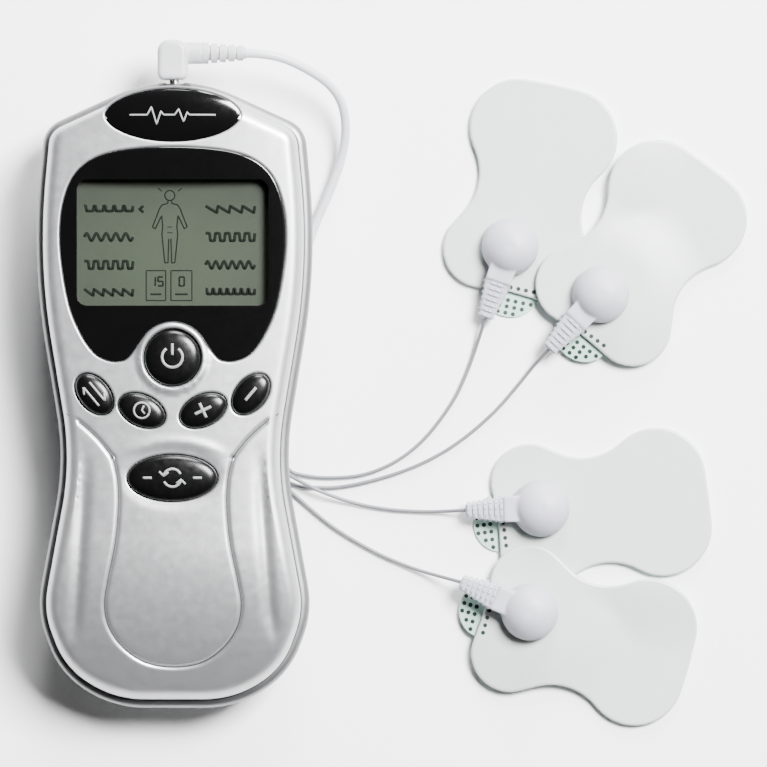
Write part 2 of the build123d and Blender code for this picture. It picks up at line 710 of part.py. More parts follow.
with BuildPart() as case_screws:
    add(prism(circles(CASE_SCREWS, 1.9), CASE_SCREW_SEAT_Z - 1.4, CASE_SCREW_SEAT_Z))
    add(prism(circles(CASE_SCREWS, 0.98), CASE_SCREW_SEAT_Z, CASE_SCREW_SEAT_Z + CASE_SCREW_LENGTH))
    with BuildSketch(Plane.XY.offset(CASE_SCREW_SEAT_Z - 1.4)):
        with Locations(*CASE_SCREWS):
            Rectangle(2.2, 0.5)
            Rectangle(0.5, 2.2)
    extrude(amount=0.7, mode=Mode.SUBTRACT)
save(case_screws, "case_screws")

with BuildPart() as board_screws:
    add(prism(circles(BOARD_SCREWS, 1.6), BOARD_UNDER_Z - 1.1, BOARD_UNDER_Z))
    add(prism(circles(BOARD_SCREWS, 0.78), BOARD_UNDER_Z, BOARD_TOP_Z + 3.6))
    with BuildSketch(Plane.XY.offset(BOARD_UNDER_Z - 1.1)):
        with Locations(*BOARD_SCREWS):
            Rectangle(1.8, 0.4)
            Rectangle(0.4, 1.8)
    extrude(amount=0.5, mode=Mode.SUBTRACT)
save(board_screws, "board_screws")

# ---- battery cells and contacts ---------------------------------------------------------------------

# Each cell: its x, the y of its nub's end, and which way along Y the nub points.
contact_low_y = BAY_Y[0] + CONTACT_THICKNESS
contact_high_y = BAY_Y[1] - CONTACT_THICKNESS
CELLS = [(CELL_X, contact_high_y, 1), (-CELL_X, contact_low_y, -1)]

for number, (x, nub_y, way) in enumerate(CELLS, start=1):
    with BuildPart() as cell:
        with BuildSketch(Plane(origin=(x, nub_y, CELL_Z), z_dir=(0, -way, 0))):
            Circle(NUB_R)
        extrude(amount=NUB_LENGTH)
        with BuildSketch(Plane(origin=(x, nub_y - way * NUB_LENGTH, CELL_Z), z_dir=(0, -way, 0))):
            Circle(CELL_R)
        extrude(amount=CELL_LENGTH - NUB_LENGTH)
        rims = cell.edges().filter_by(GeomType.CIRCLE).filter_by(lambda e: abs(e.radius - CELL_R) < 0.01)
        fillet(rims, radius=0.5)
    save(cell, f"battery_cell_{number}")

with BuildPart() as contact_plates:
    for x, nub_y, way in CELLS:
        for y in (BAY_Y[0], contact_high_y):
            with BuildSketch(Plane(origin=(x, y, CELL_Z), z_dir=(0, 1, 0))):
                Rectangle(7, 7)
            extrude(amount=CONTACT_THICKNESS)
save(contact_plates, "contact_plates")

with BuildPart() as contact_springs:
    for x, nub_y, way in CELLS:
        start_y = nub_y - way * (CELL_LENGTH + SPRING_WIRE_R)
        plate_y = contact_low_y if way > 0 else contact_high_y
        height = abs(start_y - plate_y) - SPRING_WIRE_R
        start = (x, start_y, CELL_Z)
        with BuildLine() as coil:
            Helix(pitch=height / 2.5, height=height, radius=SPRING_R, center=start, direction=(0, -way, 0))
        with BuildSketch(Plane(origin=coil.line @ 0, z_dir=coil.line % 0)):
            Circle(SPRING_WIRE_R)
        sweep(path=coil.line, is_frenet=True)
save(contact_springs, "contact_springs")

# ---- plug, cord, splitter and wires -----------------------------------------------------------------

with BuildPart() as plug_body:
    body_size = (PLUG_X[1] - PLUG_X[0], PLUG_END_Y - PLUG_FACE_Y)
    body_centre = (sum(PLUG_X) / 2, (PLUG_FACE_Y + PLUG_END_Y) / 2)
    add(prism(rectangle(body_size, body_centre), JACK_Z - 2.9, JACK_Z + 2.9))
    fillet(plug_body.edges().filter_by(Axis.Z).sort_by(Axis.Y)[-2:], radius=2.2)
    fillet(plug_body.edges().filter_by(Axis.Z).sort_by(Axis.Y)[:2], radius=1.2)
    fillet(plug_body.faces().filter_by(Axis.Z).edges(), radius=1.0)
    with BuildSketch(Plane.YZ):
        with Locations((PLUG_AXIS_Y, JACK_Z)):
            Circle(BARREL_R)
    extrude(amount=RELIEF_X[0])
    with BuildSketch(Plane.XZ.offset(-PLUG_FACE_Y)):
        with Locations((0, JACK_Z)):
            Circle(PIN_R)
    extrude(amount=-3, mode=Mode.SUBTRACT)
save(plug_body, "plug_body")

with BuildPart() as plug_pin:
    with BuildSketch(Plane.XZ.offset(-PIN_TIP_Y)):
        with Locations((0, JACK_Z)):
            Circle(PIN_R)
    extrude(amount=PIN_TIP_Y - PLUG_FACE_Y - 3)
    fillet(plug_pin.faces().sort_by(Axis.Y)[0].edges(), radius=0.8)
    with BuildSketch(Plane.XZ.offset(-PIN_TIP_Y - 3.4)):
        with Locations((0, JACK_Z)):
            Circle(PIN_R)
            Circle(PIN_R - 0.15, mode=Mode.SUBTRACT)
    extrude(amount=-0.5, mode=Mode.SUBTRACT)
save(plug_pin, "plug_pin")

with BuildPart() as plug_relief:
    for x, radius in zip(RELIEF_X, RELIEF_CORE_R):
        with BuildSketch(Plane.YZ.offset(x)):
            with Locations((PLUG_AXIS_Y, JACK_Z)):
                Circle(radius)
    loft()
    ring_pitch = (RELIEF_X[1] - RELIEF_X[0]) / RELIEF_RINGS
    for ring in range(RELIEF_RINGS):
        share = ring / (RELIEF_RINGS - 1)
        with BuildSketch(Plane.YZ.offset(RELIEF_X[0] + ring * ring_pitch)):
            with Locations((PLUG_AXIS_Y, JACK_Z)):
                Circle(RELIEF_RING_R[0] + share * (RELIEF_RING_R[1] - RELIEF_RING_R[0]))
        extrude(amount=0.68 * ring_pitch)
save(plug_relief, "plug_relief")

with BuildPart() as cord_splitter:
    add(prism(rectangle(SPLITTER_SIZE[:2], SPLITTER_CENTRE, 1.0), 0, SPLITTER_SIZE[2]))
    fillet(cord_splitter.faces().sort_by(Axis.Z)[-1].edges(), radius=0.6)
save(cord_splitter, "cord_splitter")

make_cord("main_cord", MAIN_ROUTE, CORD_R)
for number, route in enumerate(WIRE_ROUTES, start=1):
    make_cord(f"lead_wire_{number}", route, WIRE_R)

# ---- snap connectors, studs and pads ----------------------------------------------------------------


def fan_plane(base, distance):
    """A plane across a connector's strain relief, at a distance from its stud."""
    return Plane(origin=base.origin - base.x_dir * distance, x_dir=-base.y_dir, z_dir=-base.x_dir)


for number, (centre, connector_turn, pad_turn, upper) in enumerate(PADS, start=1):
    lift = OVERLAP_LIFT if upper else 0.0
    pad_top = lift + LINER_THICKNESS + PAD_THICKNESS
    base = turned_plane(centre, pad_top + SNAP_GAP, connector_turn)
    side = Plane(origin=base.origin, x_dir=base.x_dir, z_dir=-base.y_dir)

    with BuildPart() as snap_connector:
        with BuildSketch(side):
            with BuildLine():
                crown_low = (HEAD_R, HEAD_WALL)
                Polyline((0, HEAD_HEIGHT), (0, 0), (HEAD_R, 0), crown_low)
                ThreePointArc(crown_low, (0.72 * HEAD_R, 0.76 * HEAD_HEIGHT), (0, HEAD_HEIGHT))
            make_face()
        revolve(axis=Axis(base.origin, (0, 0, 1)))
        with BuildSketch(base):
            with Locations((-NECK_LENGTH / 2, 0)):
                Rectangle(NECK_LENGTH, NECK_SIZE[0])
        extrude(amount=NECK_SIZE[1])
        for distance, (width, height) in ((NECK_LENGTH, FAN_ROOT_SIZE), (FAN_END, FAN_TIP_SIZE)):
            with BuildSketch(fan_plane(base, distance)):
                with Locations((0, height / 2)):
                    Rectangle(width, height)
        loft()
        with BuildSketch(base):
            Circle(SOCKET_R[1])
        extrude(amount=SOCKET_DEPTH, mode=Mode.SUBTRACT)
    save(snap_connector, f"snap_connector_{number}")

    with BuildPart() as pad_stud:
        with BuildSketch(base.offset(-SNAP_GAP)):
            Circle(STUD_FLANGE_R)
        extrude(amount=STUD_FLANGE)
        with BuildSketch(base.offset(-SNAP_GAP)):
            Circle(STUD_R)
        extrude(amount=STUD_HEIGHT)
        fillet(pad_stud.faces().sort_by(Axis.Z)[-1].edges(), radius=0.6)
    save(pad_stud, f"pad_stud_{number}")

    with BuildPart() as pad:
        with BuildSketch(turned_plane(centre, lift + LINER_THICKNESS, pad_turn)):
            add(pad_face())
        extrude(amount=PAD_THICKNESS)
    save(pad, f"electrode_pad_{number}")

    with BuildPart() as pad_liner:
        with BuildSketch(turned_plane(centre, lift, pad_turn)):
            add(pad_face(tab=True))
        extrude(amount=LINER_THICKNESS)
    save(pad_liner, f"pad_liner_{number}")

with BuildPart() as snap_sockets:
    for centre, connector_turn, pad_turn, upper in PADS:
        lift = OVERLAP_LIFT if upper else 0.0
        socket_z = lift + LINER_THICKNESS + PAD_THICKNESS + SNAP_GAP + 0.4
        with BuildSketch(Plane.XY.offset(socket_z)):
            with Locations(centre):
                Circle(SOCKET_R[1])
                Circle(SOCKET_R[0], mode=Mode.SUBTRACT)
        extrude(amount=SOCKET_HEIGHT)
save(snap_sockets, "snap_sockets")
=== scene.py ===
"""The looks of a TENS unit with its lead set and electrode pads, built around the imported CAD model.

Lengths are millimetres and angles are degrees. Pieces are scaled to metres when they are made.
"""

import math

import bpy
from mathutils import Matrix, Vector, geometry, kdtree


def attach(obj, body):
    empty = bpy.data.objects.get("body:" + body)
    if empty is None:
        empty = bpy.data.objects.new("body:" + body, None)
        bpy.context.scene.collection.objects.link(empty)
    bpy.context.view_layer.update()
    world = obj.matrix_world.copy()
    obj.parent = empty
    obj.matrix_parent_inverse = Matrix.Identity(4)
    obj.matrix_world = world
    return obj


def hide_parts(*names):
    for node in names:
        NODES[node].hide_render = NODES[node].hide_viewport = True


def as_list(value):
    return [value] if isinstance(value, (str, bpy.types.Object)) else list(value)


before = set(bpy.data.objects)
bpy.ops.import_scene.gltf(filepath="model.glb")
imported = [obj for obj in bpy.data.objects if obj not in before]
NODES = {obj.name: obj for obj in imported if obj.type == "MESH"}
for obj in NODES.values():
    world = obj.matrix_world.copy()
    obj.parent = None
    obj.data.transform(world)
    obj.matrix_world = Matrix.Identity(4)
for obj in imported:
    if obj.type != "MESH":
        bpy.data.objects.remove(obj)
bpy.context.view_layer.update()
MM = 0.001


# ---- driving dimensions, the same as the CAD model's ----

HALF_LENGTH = 60.0
OUTLINE_CORNERS = [
    (6.0, 60.0, 27.0),
    (25.0, 51.3, 5.5),
    (27.45, 25.6, 121.0),
    (21.14, -12.3, 51.0),
    (26.5, -41.4, 18.3),
    (22.25, -53.15, 17.0),
    (12.1, -60.0, 21.0),
]
PARTING_Z = 12.0
FACE_Z = 23.0
CROWN_R = 200.0
NOSE_START_Y = -28.0
NOSE_R = 62.0
RIM_INSET = 1.7
EDGE_ROUND = 2.4
WALL = 2.0
BEZEL_HALF = [
    (0.0, 47.2), (11.5, 46.2), (17.8, 43.0), (20.8, 37.0), (21.5, 28.5), (20.0, 18.0),
    (17.7, 11.9), (15.1, 8.1), (12.5, 6.6), (10.0, 6.4), (8.2, 7.3),
]
NOTCH_R = 6.8
NOTCH_END = 34.0
BADGE_CENTRE_Y = 53.2
BADGE_SIZE = (25.2, 9.9)
BADGE_FULLNESS = 1.12  # 1 is an ellipse, and more is a lens with sharper tips
BUTTONS = {
    "power_button": (0.0, 7.1, 5.4, 5.4, 0.0),
    "channel_button": (-14.85, 0.2, 4.5, 2.95, -50.0),
    "time_button": (-5.8, -2.9, 4.74, 3.0, -25.0),
    "strong_button": (5.8, -2.9, 4.74, 3.0, 25.0),
    "weak_button": (14.85, 0.2, 4.5, 2.95, 50.0),
    "mode_button": (0.0, -15.7, 8.56, 4.43, 0.0),
}
CLEARANCE = 0.15
RING_R = (5.6, 6.6)  # the raised ring round the power button
RING_PROUD = 0.5
HOLE_GAP = 0.3  # between the bezel or the badge and the edge of its pocket
DISPLAY_CENTRE = (0.0, 29.0)
LCD_TOP_Z = 19.9

CORD_R = 0.875
WIRE_R = 0.35
MAIN_ROUTE = [
    (13.7, 65.5, 12.0), (18.1, 65.5, 12.0), (24.4, 63.3, 10.2), (31.3, 58.8, 7.0),
    (33.2, 52.0, 4.2), (31.6, 43.4, 1.8), (24.4, 27.6, 0.9), (22.6, 10.0, 0.9),
    (19.4, 1.6, 1.3), (19.4, -4.0, 1.3),
]
WIRE_ROUTES = [
    [
        (20.9, -11.0, 1.3), (20.9, -13.0, 1.3), (21.9, -14.8, 0.8), (24.2, -15.55, 0.4),
        (29.2, -16.2, 0.4), (37.7, -15.5, 0.4), (46.5, -10.6, 0.4), (53.4, -1.9, 0.4),
        (56.4, 4.6, 0.4), (58.5, 10.7, 1.0), (59.75, 14.8, 2.6),
    ],
    [
        (18.9, -11.0, 1.3), (18.9, -13.3, 1.3), (19.9, -15.7, 0.7), (22.0, -17.3, 0.4),
        (25.5, -17.95, 0.4), (32.5, -18.0, 0.4), (44.2, -14.9, 0.4), (53.1, -10.5, 0.4),
        (61.1, -4.0, 0.4), (66.6, 2.4, 0.4), (69.5, 6.2, 1.6), (71.99, 8.77, 4.05),
    ],
    [
        (19.9, -11.0, 1.3), (19.9, -13.1, 1.3), (21.2, -15.1, 1.9), (23.8, -16.65, 2.1),
        (28.3, -18.9, 2.1), (34.0, -20.9, 0.6), (40.5, -22.2, 0.4), (48.0, -22.65, 0.4),
        (52.2, -22.5, 1.0), (55.9, -22.28, 2.6),
    ],
    [
        (17.9, -11.0, 1.3), (17.9, -13.4, 1.3), (18.4, -15.8, 0.7), (20.8, -17.45, 0.4),
        (24.6, -20.9, 0.4), (30.2, -25.7, 0.4), (38.5, -30.6, 0.4), (45.5, -33.5, 0.5),
        (50.6, -35.0, 1.7), (54.91, -36.08, 4.05),
    ],
]
WIRE_LENGTHS = (59.1, 67.9, 41.1, 47.8)
MAIN_LENGTH = 85.7

# Each pad: its stud's place, its connector's turn, its own turn, and which pad's edge it lies on.
PADS = [
    ((64.5, 28.6), 71.0, 78.0, None),
    ((82.0, 19.4), 46.7, 54.0, 0),
    ((70.5, -21.9), 1.5, 7.5, None),
    ((68.3, -41.9), -23.5, -15.5, 2),
]
LINER_THICKNESS = 0.25
PAD_THICKNESS = 1.0
OVERLAP_LIFT = 1.45
# Where a pad's outline crosses its long axis, from the stud, and the corners of one side with their radii:
# two lobes with a waist between them.
PAD_ENDS = (-8.5, 32.6)
PAD_CORNERS = [
    (-10.0, -20.5, 7.5),
    (11.0, -8.5, 11.0),
    (32.0, -22.0, 9.5),
]
PAD_SIDESTEP = -1.8
TAB_SIZE = (5.0, 5.7)
SNAP_GAP = 0.4
NECK_LENGTH = 7.2
FAN_END = 14.6
FAN_ROOT_SIZE = (5.0, 2.8)
FAN_TIP_SIZE = (2.6, 1.9)

# ---- camera and light ----

VIEW_CENTRE = (40.07, 2.2)
VIEW_WIDTH = 147.0
CAMERA_HEIGHT = 1200.0  # above the handset's parting plane
SENSOR = 36.0


def linked(name, data):
    """A new object in the scene."""
    thing = bpy.data.objects.new(name, data)
    bpy.context.collection.objects.link(thing)
    return thing


def add_node(tree, kind, **inputs):
    """A new shader node with its inputs set; an underscore stands for a space in an input's name."""
    node = tree.nodes.new("ShaderNode" + kind)
    for name, value in inputs.items():
        node.inputs[name.replace("_", " ")].default_value = value
    return node


def add_camera():
    data = bpy.data.cameras.new("camera")
    data.sensor_width = SENSOR
    data.lens = SENSOR * CAMERA_HEIGHT / VIEW_WIDTH
    data.clip_end = 10.0
    camera = linked("camera", data)
    camera.location = Vector((*VIEW_CENTRE, PARTING_Z + CAMERA_HEIGHT)) * MM
    bpy.context.scene.camera = camera


def add_area(name, place, size, watts, aim=(30.0, 0.0, 0.0)):
    """A square soft light at a place, facing the aim point."""
    data = bpy.data.lights.new(name, "AREA")
    data.shape = "SQUARE"
    data.size = size * MM
    data.energy = watts
    lamp = linked(name, data)
    lamp.location = Vector(place) * MM
    lamp.rotation_euler = (Vector(aim) - Vector(place)).to_track_quat("-Z", "Y").to_euler()


def add_world(dark, bright, bright_side):
    """A soft surround, bright on one side of the room and dark overhead, where flat gloss would mirror it."""
    world = bpy.data.worlds.new("studio")
    world.use_nodes = True
    tree = world.node_tree
    direction = add_node(tree, "TexCoord").outputs["Generated"]
    towards = add_node(tree, "VectorMath")
    towards.operation = "DOT_PRODUCT"
    towards.inputs[1].default_value = Vector(bright_side).normalized()
    ramp = add_node(tree, "MapRange", From_Min=-0.5, From_Max=0.8, To_Min=dark, To_Max=bright)
    ramp.interpolation_type = "SMOOTHSTEP"
    tree.links.new(direction, towards.inputs[0])
    tree.links.new(towards.outputs["Value"], ramp.inputs["Value"])
    tree.links.new(ramp.outputs["Result"], tree.nodes["Background"].inputs["Strength"])
    tree.nodes["Background"].inputs["Color"].default_value = (1.0, 1.0, 1.0, 1.0)
    bpy.context.scene.world = world


# ---- materials ----


class Paint:
    """A Principled material with procedural colour, gloss and bump."""

    def __init__(self, name, color, roughness, **sockets):
        self.material = bpy.data.materials.new(name)
        self.material.use_nodes = True
        self.tree = self.material.node_tree
        self.shader = self.tree.nodes["Principled BSDF"]
        self.shader.inputs["Base Color"].default_value = (*color, 1.0)
        self.shader.inputs["Roughness"].default_value = roughness
        for socket, value in sockets.items():
            self.shader.inputs[socket.replace("_", " ")].default_value = value
        self.coordinates = add_node(self.tree, "TexCoord").outputs["Object"]

    def noise(self, scale, detail=3.0, stretch=(1.0, 1.0, 1.0)):
        """A noise texture in object space; scale is in waves per metre."""
        mapping = add_node(self.tree, "Mapping", Scale=stretch)
        texture = add_node(self.tree, "TexNoise", Scale=scale, Detail=detail)
        self.tree.links.new(self.coordinates, mapping.inputs["Vector"])
        self.tree.links.new(mapping.outputs["Vector"], texture.inputs["Vector"])
        return texture.outputs["Fac"]

    def vary_color(self, source, low, high, start=0.3, end=0.7):
        """Runs the colour from low to high as the source goes from start to end."""
        node = add_node(self.tree, "ValToRGB")
        for element, position, color in zip(node.color_ramp.elements, (start, end), (low, high)):
            element.position = position
            element.color = (*color, 1.0)
        self.tree.links.new(source, node.inputs["Fac"])
        self.tree.links.new(node.outputs["Color"], self.shader.inputs["Base Color"])

    def vary_roughness(self, source, low, high):
        node = add_node(self.tree, "MapRange", From_Min=0.3, From_Max=0.7, To_Min=low, To_Max=high)
        self.tree.links.new(source, node.inputs["Value"])
        self.tree.links.new(node.outputs["Result"], self.shader.inputs["Roughness"])

    def bump(self, source, strength, distance):
        node = add_node(self.tree, "Bump", Strength=strength, Distance=distance * MM)
        self.tree.links.new(source, node.inputs["Height"])
        self.tree.links.new(node.outputs["Normal"], self.shader.inputs["Normal"])


def shaded(color, factor):
    return tuple(min(1.0, value * factor) for value in color)


def plastic(name, color, roughness, grain=0.02, variation=0.06, **sockets):
    """Moulded plastic: a fine grain, faint clouds in its colour and small changes of gloss."""
    paint = Paint(name, color, roughness, **sockets)
    paint.vary_color(paint.noise(220.0), shaded(color, 1 - variation), shaded(color, 1 + variation))
    paint.vary_roughness(paint.noise(900.0), roughness * 0.85, roughness * 1.15)
    paint.bump(paint.noise(9000.0, 2.0), 0.5, grain)
    return paint.material


def metal(name, color, roughness, stretch=(1.0, 1.0, 1.0)):
    """Plated or brushed metal; stretch draws the brushing out along an axis."""
    paint = Paint(name, color, roughness, Metallic=1.0)
    paint.vary_color(paint.noise(400.0), shaded(color, 0.88), color)
    paint.vary_roughness(paint.noise(3000.0, 4.0, stretch), roughness * 0.7, roughness * 1.4)
    paint.bump(paint.noise(6000.0, 2.0, stretch), 0.3, 0.01)
    return paint.material


def silver_paint(name, color):
    """Satin silver paint on plastic: fine metal flake under a thin clear coat."""
    paint = Paint(name, color, 0.40, Metallic=0.85, Coat_Weight=0.08, Coat_Roughness=0.3)
    flake = paint.noise(14000.0, 1.0)
    paint.vary_color(flake, shaded(color, 0.93), shaded(color, 1.05))
    paint.vary_roughness(paint.noise(600.0), 0.37, 0.43)
    paint.bump(flake, 0.25, 0.01)
    return paint.material


SILVER = silver_paint("silver_paint", (0.50, 0.505, 0.52))
# the front's silver paint darkened, as painted shade for the back shell's rim band and underside; the battery
# door shares it
SILVER_SHADED = silver_paint("silver_paint_shaded", (0.2, 0.202, 0.208))
BLACK = (0.0015, 0.0015, 0.0016)
GLOSS_BLACK = plastic("gloss_black", BLACK, 0.10, 0.002, 0.1, Coat_Weight=0.3, Coat_Roughness=0.04)
BUTTON_BLACK = plastic("button_black", BLACK, 0.24, 0.002, 0.1, Specular_IOR_Level=0.32)
# near-black for painted shade in the grooves and in the gap between the shells
SEAM_SHADE = plastic("painted_seam_shade", (0.03, 0.03, 0.032), 0.6)
GREY_PRINT = plastic("grey_print", (0.20, 0.202, 0.205), 0.45, 0.002)
LCD_INK = plastic("lcd_ink", (0.006, 0.0085, 0.006), 0.9, 0.001, Specular_IOR_Level=0.1)
CORD_WHITE = plastic("cord_white", (0.50, 0.51, 0.54), 0.38, 0.01, 0.03)
WIRE_GREY = plastic("wire_grey", (0.13, 0.133, 0.145), 0.4, 0.005, 0.05)
PLUG_WHITE = plastic("plug_white", (0.40, 0.405, 0.42), 0.36, 0.015, 0.03)
CONNECTOR_WHITE = plastic(
    "connector_white", (0.385, 0.387, 0.435), 0.5, 0.01, 0.02, Subsurface_Weight=0.12, Subsurface_Scale=0.002
)
PAD_WHITE = plastic(
    "pad_white", (0.47, 0.50, 0.485), 0.34, 0.02, 0.012, Coat_Weight=0.15, Coat_Roughness=0.25
)
LINER_MINT = plastic("liner_mint", (0.40, 0.56, 0.49), 0.25, 0.01, 0.03)
LINER_DOT = plastic("liner_dot", (0.006, 0.020, 0.013), 0.4, 0.003)
NICKEL = metal("nickel", (0.62, 0.61, 0.58), 0.22)
STEEL = metal("steel", (0.55, 0.56, 0.58), 0.3, (1.0, 1.0, 12.0))


# The display sheet's colour, and a darker copy of it that paints the shade of the window's recess
LCD_PAINTED_SHADE = (0.0148, 0.0226, 0.0115)
LCD_LIGHT = (0.0212, 0.0322, 0.0162)


def lcd_material():
    """The liquid crystal's grey-green sheet, with painted shade: darker towards its edges and its top, where
    the window's recess shades it.
    """
    paint = Paint("lcd_sheet", LCD_LIGHT, 0.45)
    gradient = add_node(paint.tree, "TexGradient")
    gradient.gradient_type = "SPHERICAL"
    mapping = add_node(paint.tree, "Mapping")
    mapping.vector_type = "TEXTURE"
    mapping.inputs["Location"].default_value = (0.0, (DISPLAY_CENTRE[1] - 3.0) * MM, LCD_TOP_Z * MM)
    mapping.inputs["Scale"].default_value = (34.0 * MM, 27.0 * MM, 1.0)
    paint.tree.links.new(paint.coordinates, mapping.inputs["Vector"])
    paint.tree.links.new(mapping.outputs["Vector"], gradient.inputs["Vector"])
    # painted shade: the sheet runs darker towards its edges and its top
    paint.vary_color(gradient.outputs["Fac"], LCD_PAINTED_SHADE, LCD_LIGHT, 0.35, 0.8)
    paint.bump(paint.noise(12000.0, 1.0), 0.15, 0.005)
    return paint.material


def window_material():
    """Clear acrylic: nearly nothing but its reflections."""
    paint = Paint("window_acrylic", (0.01, 0.01, 0.01), 0.04, Alpha=0.12)
    paint.vary_roughness(paint.noise(500.0), 0.03, 0.06)
    return paint.material


# ---- mesh helpers ----


def new_piece(name, points, faces, material, body, crease=35.0):
    """A mesh piece from points in millimetres, smooth but for edges sharper than the crease angle."""
    mesh = bpy.data.meshes.new(name)
    mesh.from_pydata([Vector(point) * MM for point in points], [], faces)
    mesh.validate()
    mesh.polygons.foreach_set("use_smooth", [True] * len(mesh.polygons))
    mesh.set_sharp_from_angle(angle=math.radians(crease))
    mesh.materials.append(material)
    piece = linked(name, mesh)
    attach(piece, body)
    return piece


def flipped(faces):
    return [tuple(reversed(face)) for face in faces]


def raised(ring, height, offset=0.0):
    """A flat ring put on a surface that is given by its height, or a little off it."""
    return [(p.x, p.y, height(p.x, p.y) + offset) for p in ring]


def placed(u, v, turn, centre=(0.0, 0.0)):
    """Where a point of a frame lies that is turned, in degrees, and moved to the centre."""
    angle = math.radians(turn)
    return (
        centre[0] + u * math.cos(angle) - v * math.sin(angle),
        centre[1] + u * math.sin(angle) + v * math.cos(angle),
    )


def strip(first, second, count):
    """Quads between two rings of vertices that start at the given indices."""
    return [(first + k, first + (k + 1) % count, second + (k + 1) % count, second + k) for k in range(count)]


def rings_mesh(rings, capped=False):
    """Joins rings of the same number of points with quads, and may close both ends."""
    count = len(rings[0])
    points = [point for ring in rings for point in ring]
    faces = []
    for k in range(len(rings) - 1):
        faces += strip(k * count, (k + 1) * count, count)
    if capped:
        faces.append(tuple(reversed(range(count))))
        faces.append(tuple(range((len(rings) - 1) * count, len(rings) * count)))
    return points, faces


def rounded(points, radii, step=0.7):
    """Points along an open path of straight runs with rounded corners, each with its unit normal."""
    path = []
    last = Vector(points[0])
    for k, radius in enumerate(radii, start=1):
        here = Vector(points[k])
        way_in = (here - Vector(points[k - 1])).normalized()
        way_out = (Vector(points[k + 1]) - here).normalized()
        turn = way_in.angle_signed(way_out)
        reach = radius * math.tan(abs(turn) / 2)
        start = here - way_in * reach
        path += straight(last, start, step)
        side = -1.0 if turn < 0 else 1.0
        to_centre = left_of(way_in) * -side
        centre = start + to_centre * radius
        steps = max(3, int(abs(turn) * radius / step))
        for n in range(steps):
            spoke = Vector(placed(-to_centre.x, -to_centre.y, math.degrees(-turn * n / steps)))
            path.append((centre + spoke * radius, spoke * side))
        last = here + way_out * reach
    path += straight(last, Vector(points[-1]), step)
    path.append((Vector(points[-1]), left_of((Vector(points[-1]) - last).normalized())))
    return path


def left_of(way):
    return Vector((-way.y, way.x))


def straight(start, end, step):
    run = end - start
    steps = max(1, int(run.length / step))
    normal = left_of(run.normalized())
    return [(start + run * n / steps, normal) for n in range(steps)]


def case_outline():
    """The handset's outline, clockwise seen from above, as points with outward normals."""
    corners = [(x, y) for x, y, _ in OUTLINE_CORNERS]
    radii = [radius for _, _, radius in OUTLINE_CORNERS]
    right = rounded([(0, HALF_LENGTH), *corners, (0, -HALF_LENGTH)], radii)
    left = [(Vector((-p.x, p.y)), Vector((-n.x, n.y))) for p, n in reversed(right[1:-1])]
    return right + left


OUTLINE = case_outline()


def inset_outline(inset):
    return [point - normal * inset for point, normal in OUTLINE]


def through(points, steps):
    """A smooth curve through points: a Catmull-Rom spline."""
    last = len(points) - 1
    curve = []
    for k in range(last):
        a, b, c, d = (Vector(points[min(max(index, 0), last)]) for index in (k - 1, k, k + 1, k + 2))
        square = 2 * a - 5 * b + 4 * c - d
        cube = 3 * b - a - 3 * c + d
        for n in range(steps):
            t = n / steps
            curve.append(0.5 * (2 * b + (c - a) * t + square * t * t + cube * t**3))
    curve.append(Vector(points[-1]))
    return curve


def crown_height(x, y):
    """The height of the plain crowned face."""
    drop = 0.0
    if y < NOSE_START_Y:
        drop = NOSE_R - math.sqrt(NOSE_R**2 - (NOSE_START_Y - y) ** 2)
    return FACE_Z - CROWN_R + math.sqrt((CROWN_R - drop) ** 2 - x * x)


def smooth_step(value, low, high):
    t = min(1.0, max(0.0, (value - low) / (high - low)))
    return t * t * (3 - 2 * t)


class Line:
    """A curve on the face, to measure how far a point is from it and how far along."""

    def __init__(self, points):
        self.points = points
        self.tree = kdtree.KDTree(len(points))
        for index, point in enumerate(points):
            self.tree.insert((point[0], point[1], 0), index)
        self.tree.balance()

    def distance(self, x, y):
        """The signed distance, positive on the curve's left, and how far along it the nearest point is."""
        spot, index, _ = self.tree.find((x, y, 0))
        before = self.points[max(index - 1, 0)]
        after = self.points[min(index + 1, len(self.points) - 1)]
        way = Vector((after[0] - before[0], after[1] - before[1])).normalized()
        off = Vector((x - spot.x, y - spot.y))
        across = way.x * off.y - way.y * off.x
        along = max(0.0, off.length_squared - across * across)
        return math.copysign(math.sqrt(across * across + along), across), index / (len(self.points) - 1)


# ---- front shell ----

GROOVE_WIDTH = 0.32
GROOVE_DEPTH = 0.42
U_SIDE = [
    (11.4, -11.9), (10.5, -16.0), (10.3, -21.0), (10.9, -28.0), (12.4, -35.5),
    (13.0, -40.0), (12.2, -44.2), (9.6, -48.1), (5.4, -51.0), (0.0, -51.9),
]
ARM = [(20.2, -3.5), (17.2, -5.6), (14.0, -8.6), (11.4, -11.9)]
ARC = [(-11.4, -11.9), (-7.5, -10.1), (-3.5, -9.0), (0.0, -8.7), (3.5, -9.0), (7.5, -10.1), (11.4, -11.9)]
FLUTE = [(16.4, -8.6), (17.0, -20.0), (17.7, -30.0), (18.5, -41.0), (19.4, -47.5)]
FLUTE_DEPTH = 0.62
FLUTE_WIDTH = 1.15
DISH_REACH = 2.2  # the shallow dish round the mode button
DISH_DEPTH = 0.28
ARC_PROUD = 0.22
ARC_WIDTH = 0.75
HOLE_EDGE = 0.22  # how far the rounded edge of a hole reaches inwards
HOLE_LIP = 0.25  # a flat lip before that edge starts
HOLE_DEPTH = 1.3
# Down a hole: how far in, as a share of its rounded edge, and how deep.
HOLE_STEPS = ((0.0, 0.0), (0.6, 0.08), (0.93, 0.24), (1.0, 0.22), (1.0, HOLE_DEPTH))
SKIN_SPACING = 0.62  # of the face's mesh points away from the grooves
GROOVE_CLEAR = 1.1  # nearer to a groove the mesh points are the rows along it
GROOVE_ROWS = (-0.9, -0.5, -0.28, -0.12, 0.0, 0.12, 0.28, 0.5, 0.9)


def mirrored(points):
    return [(-x, y) for x, y in reversed(points)]


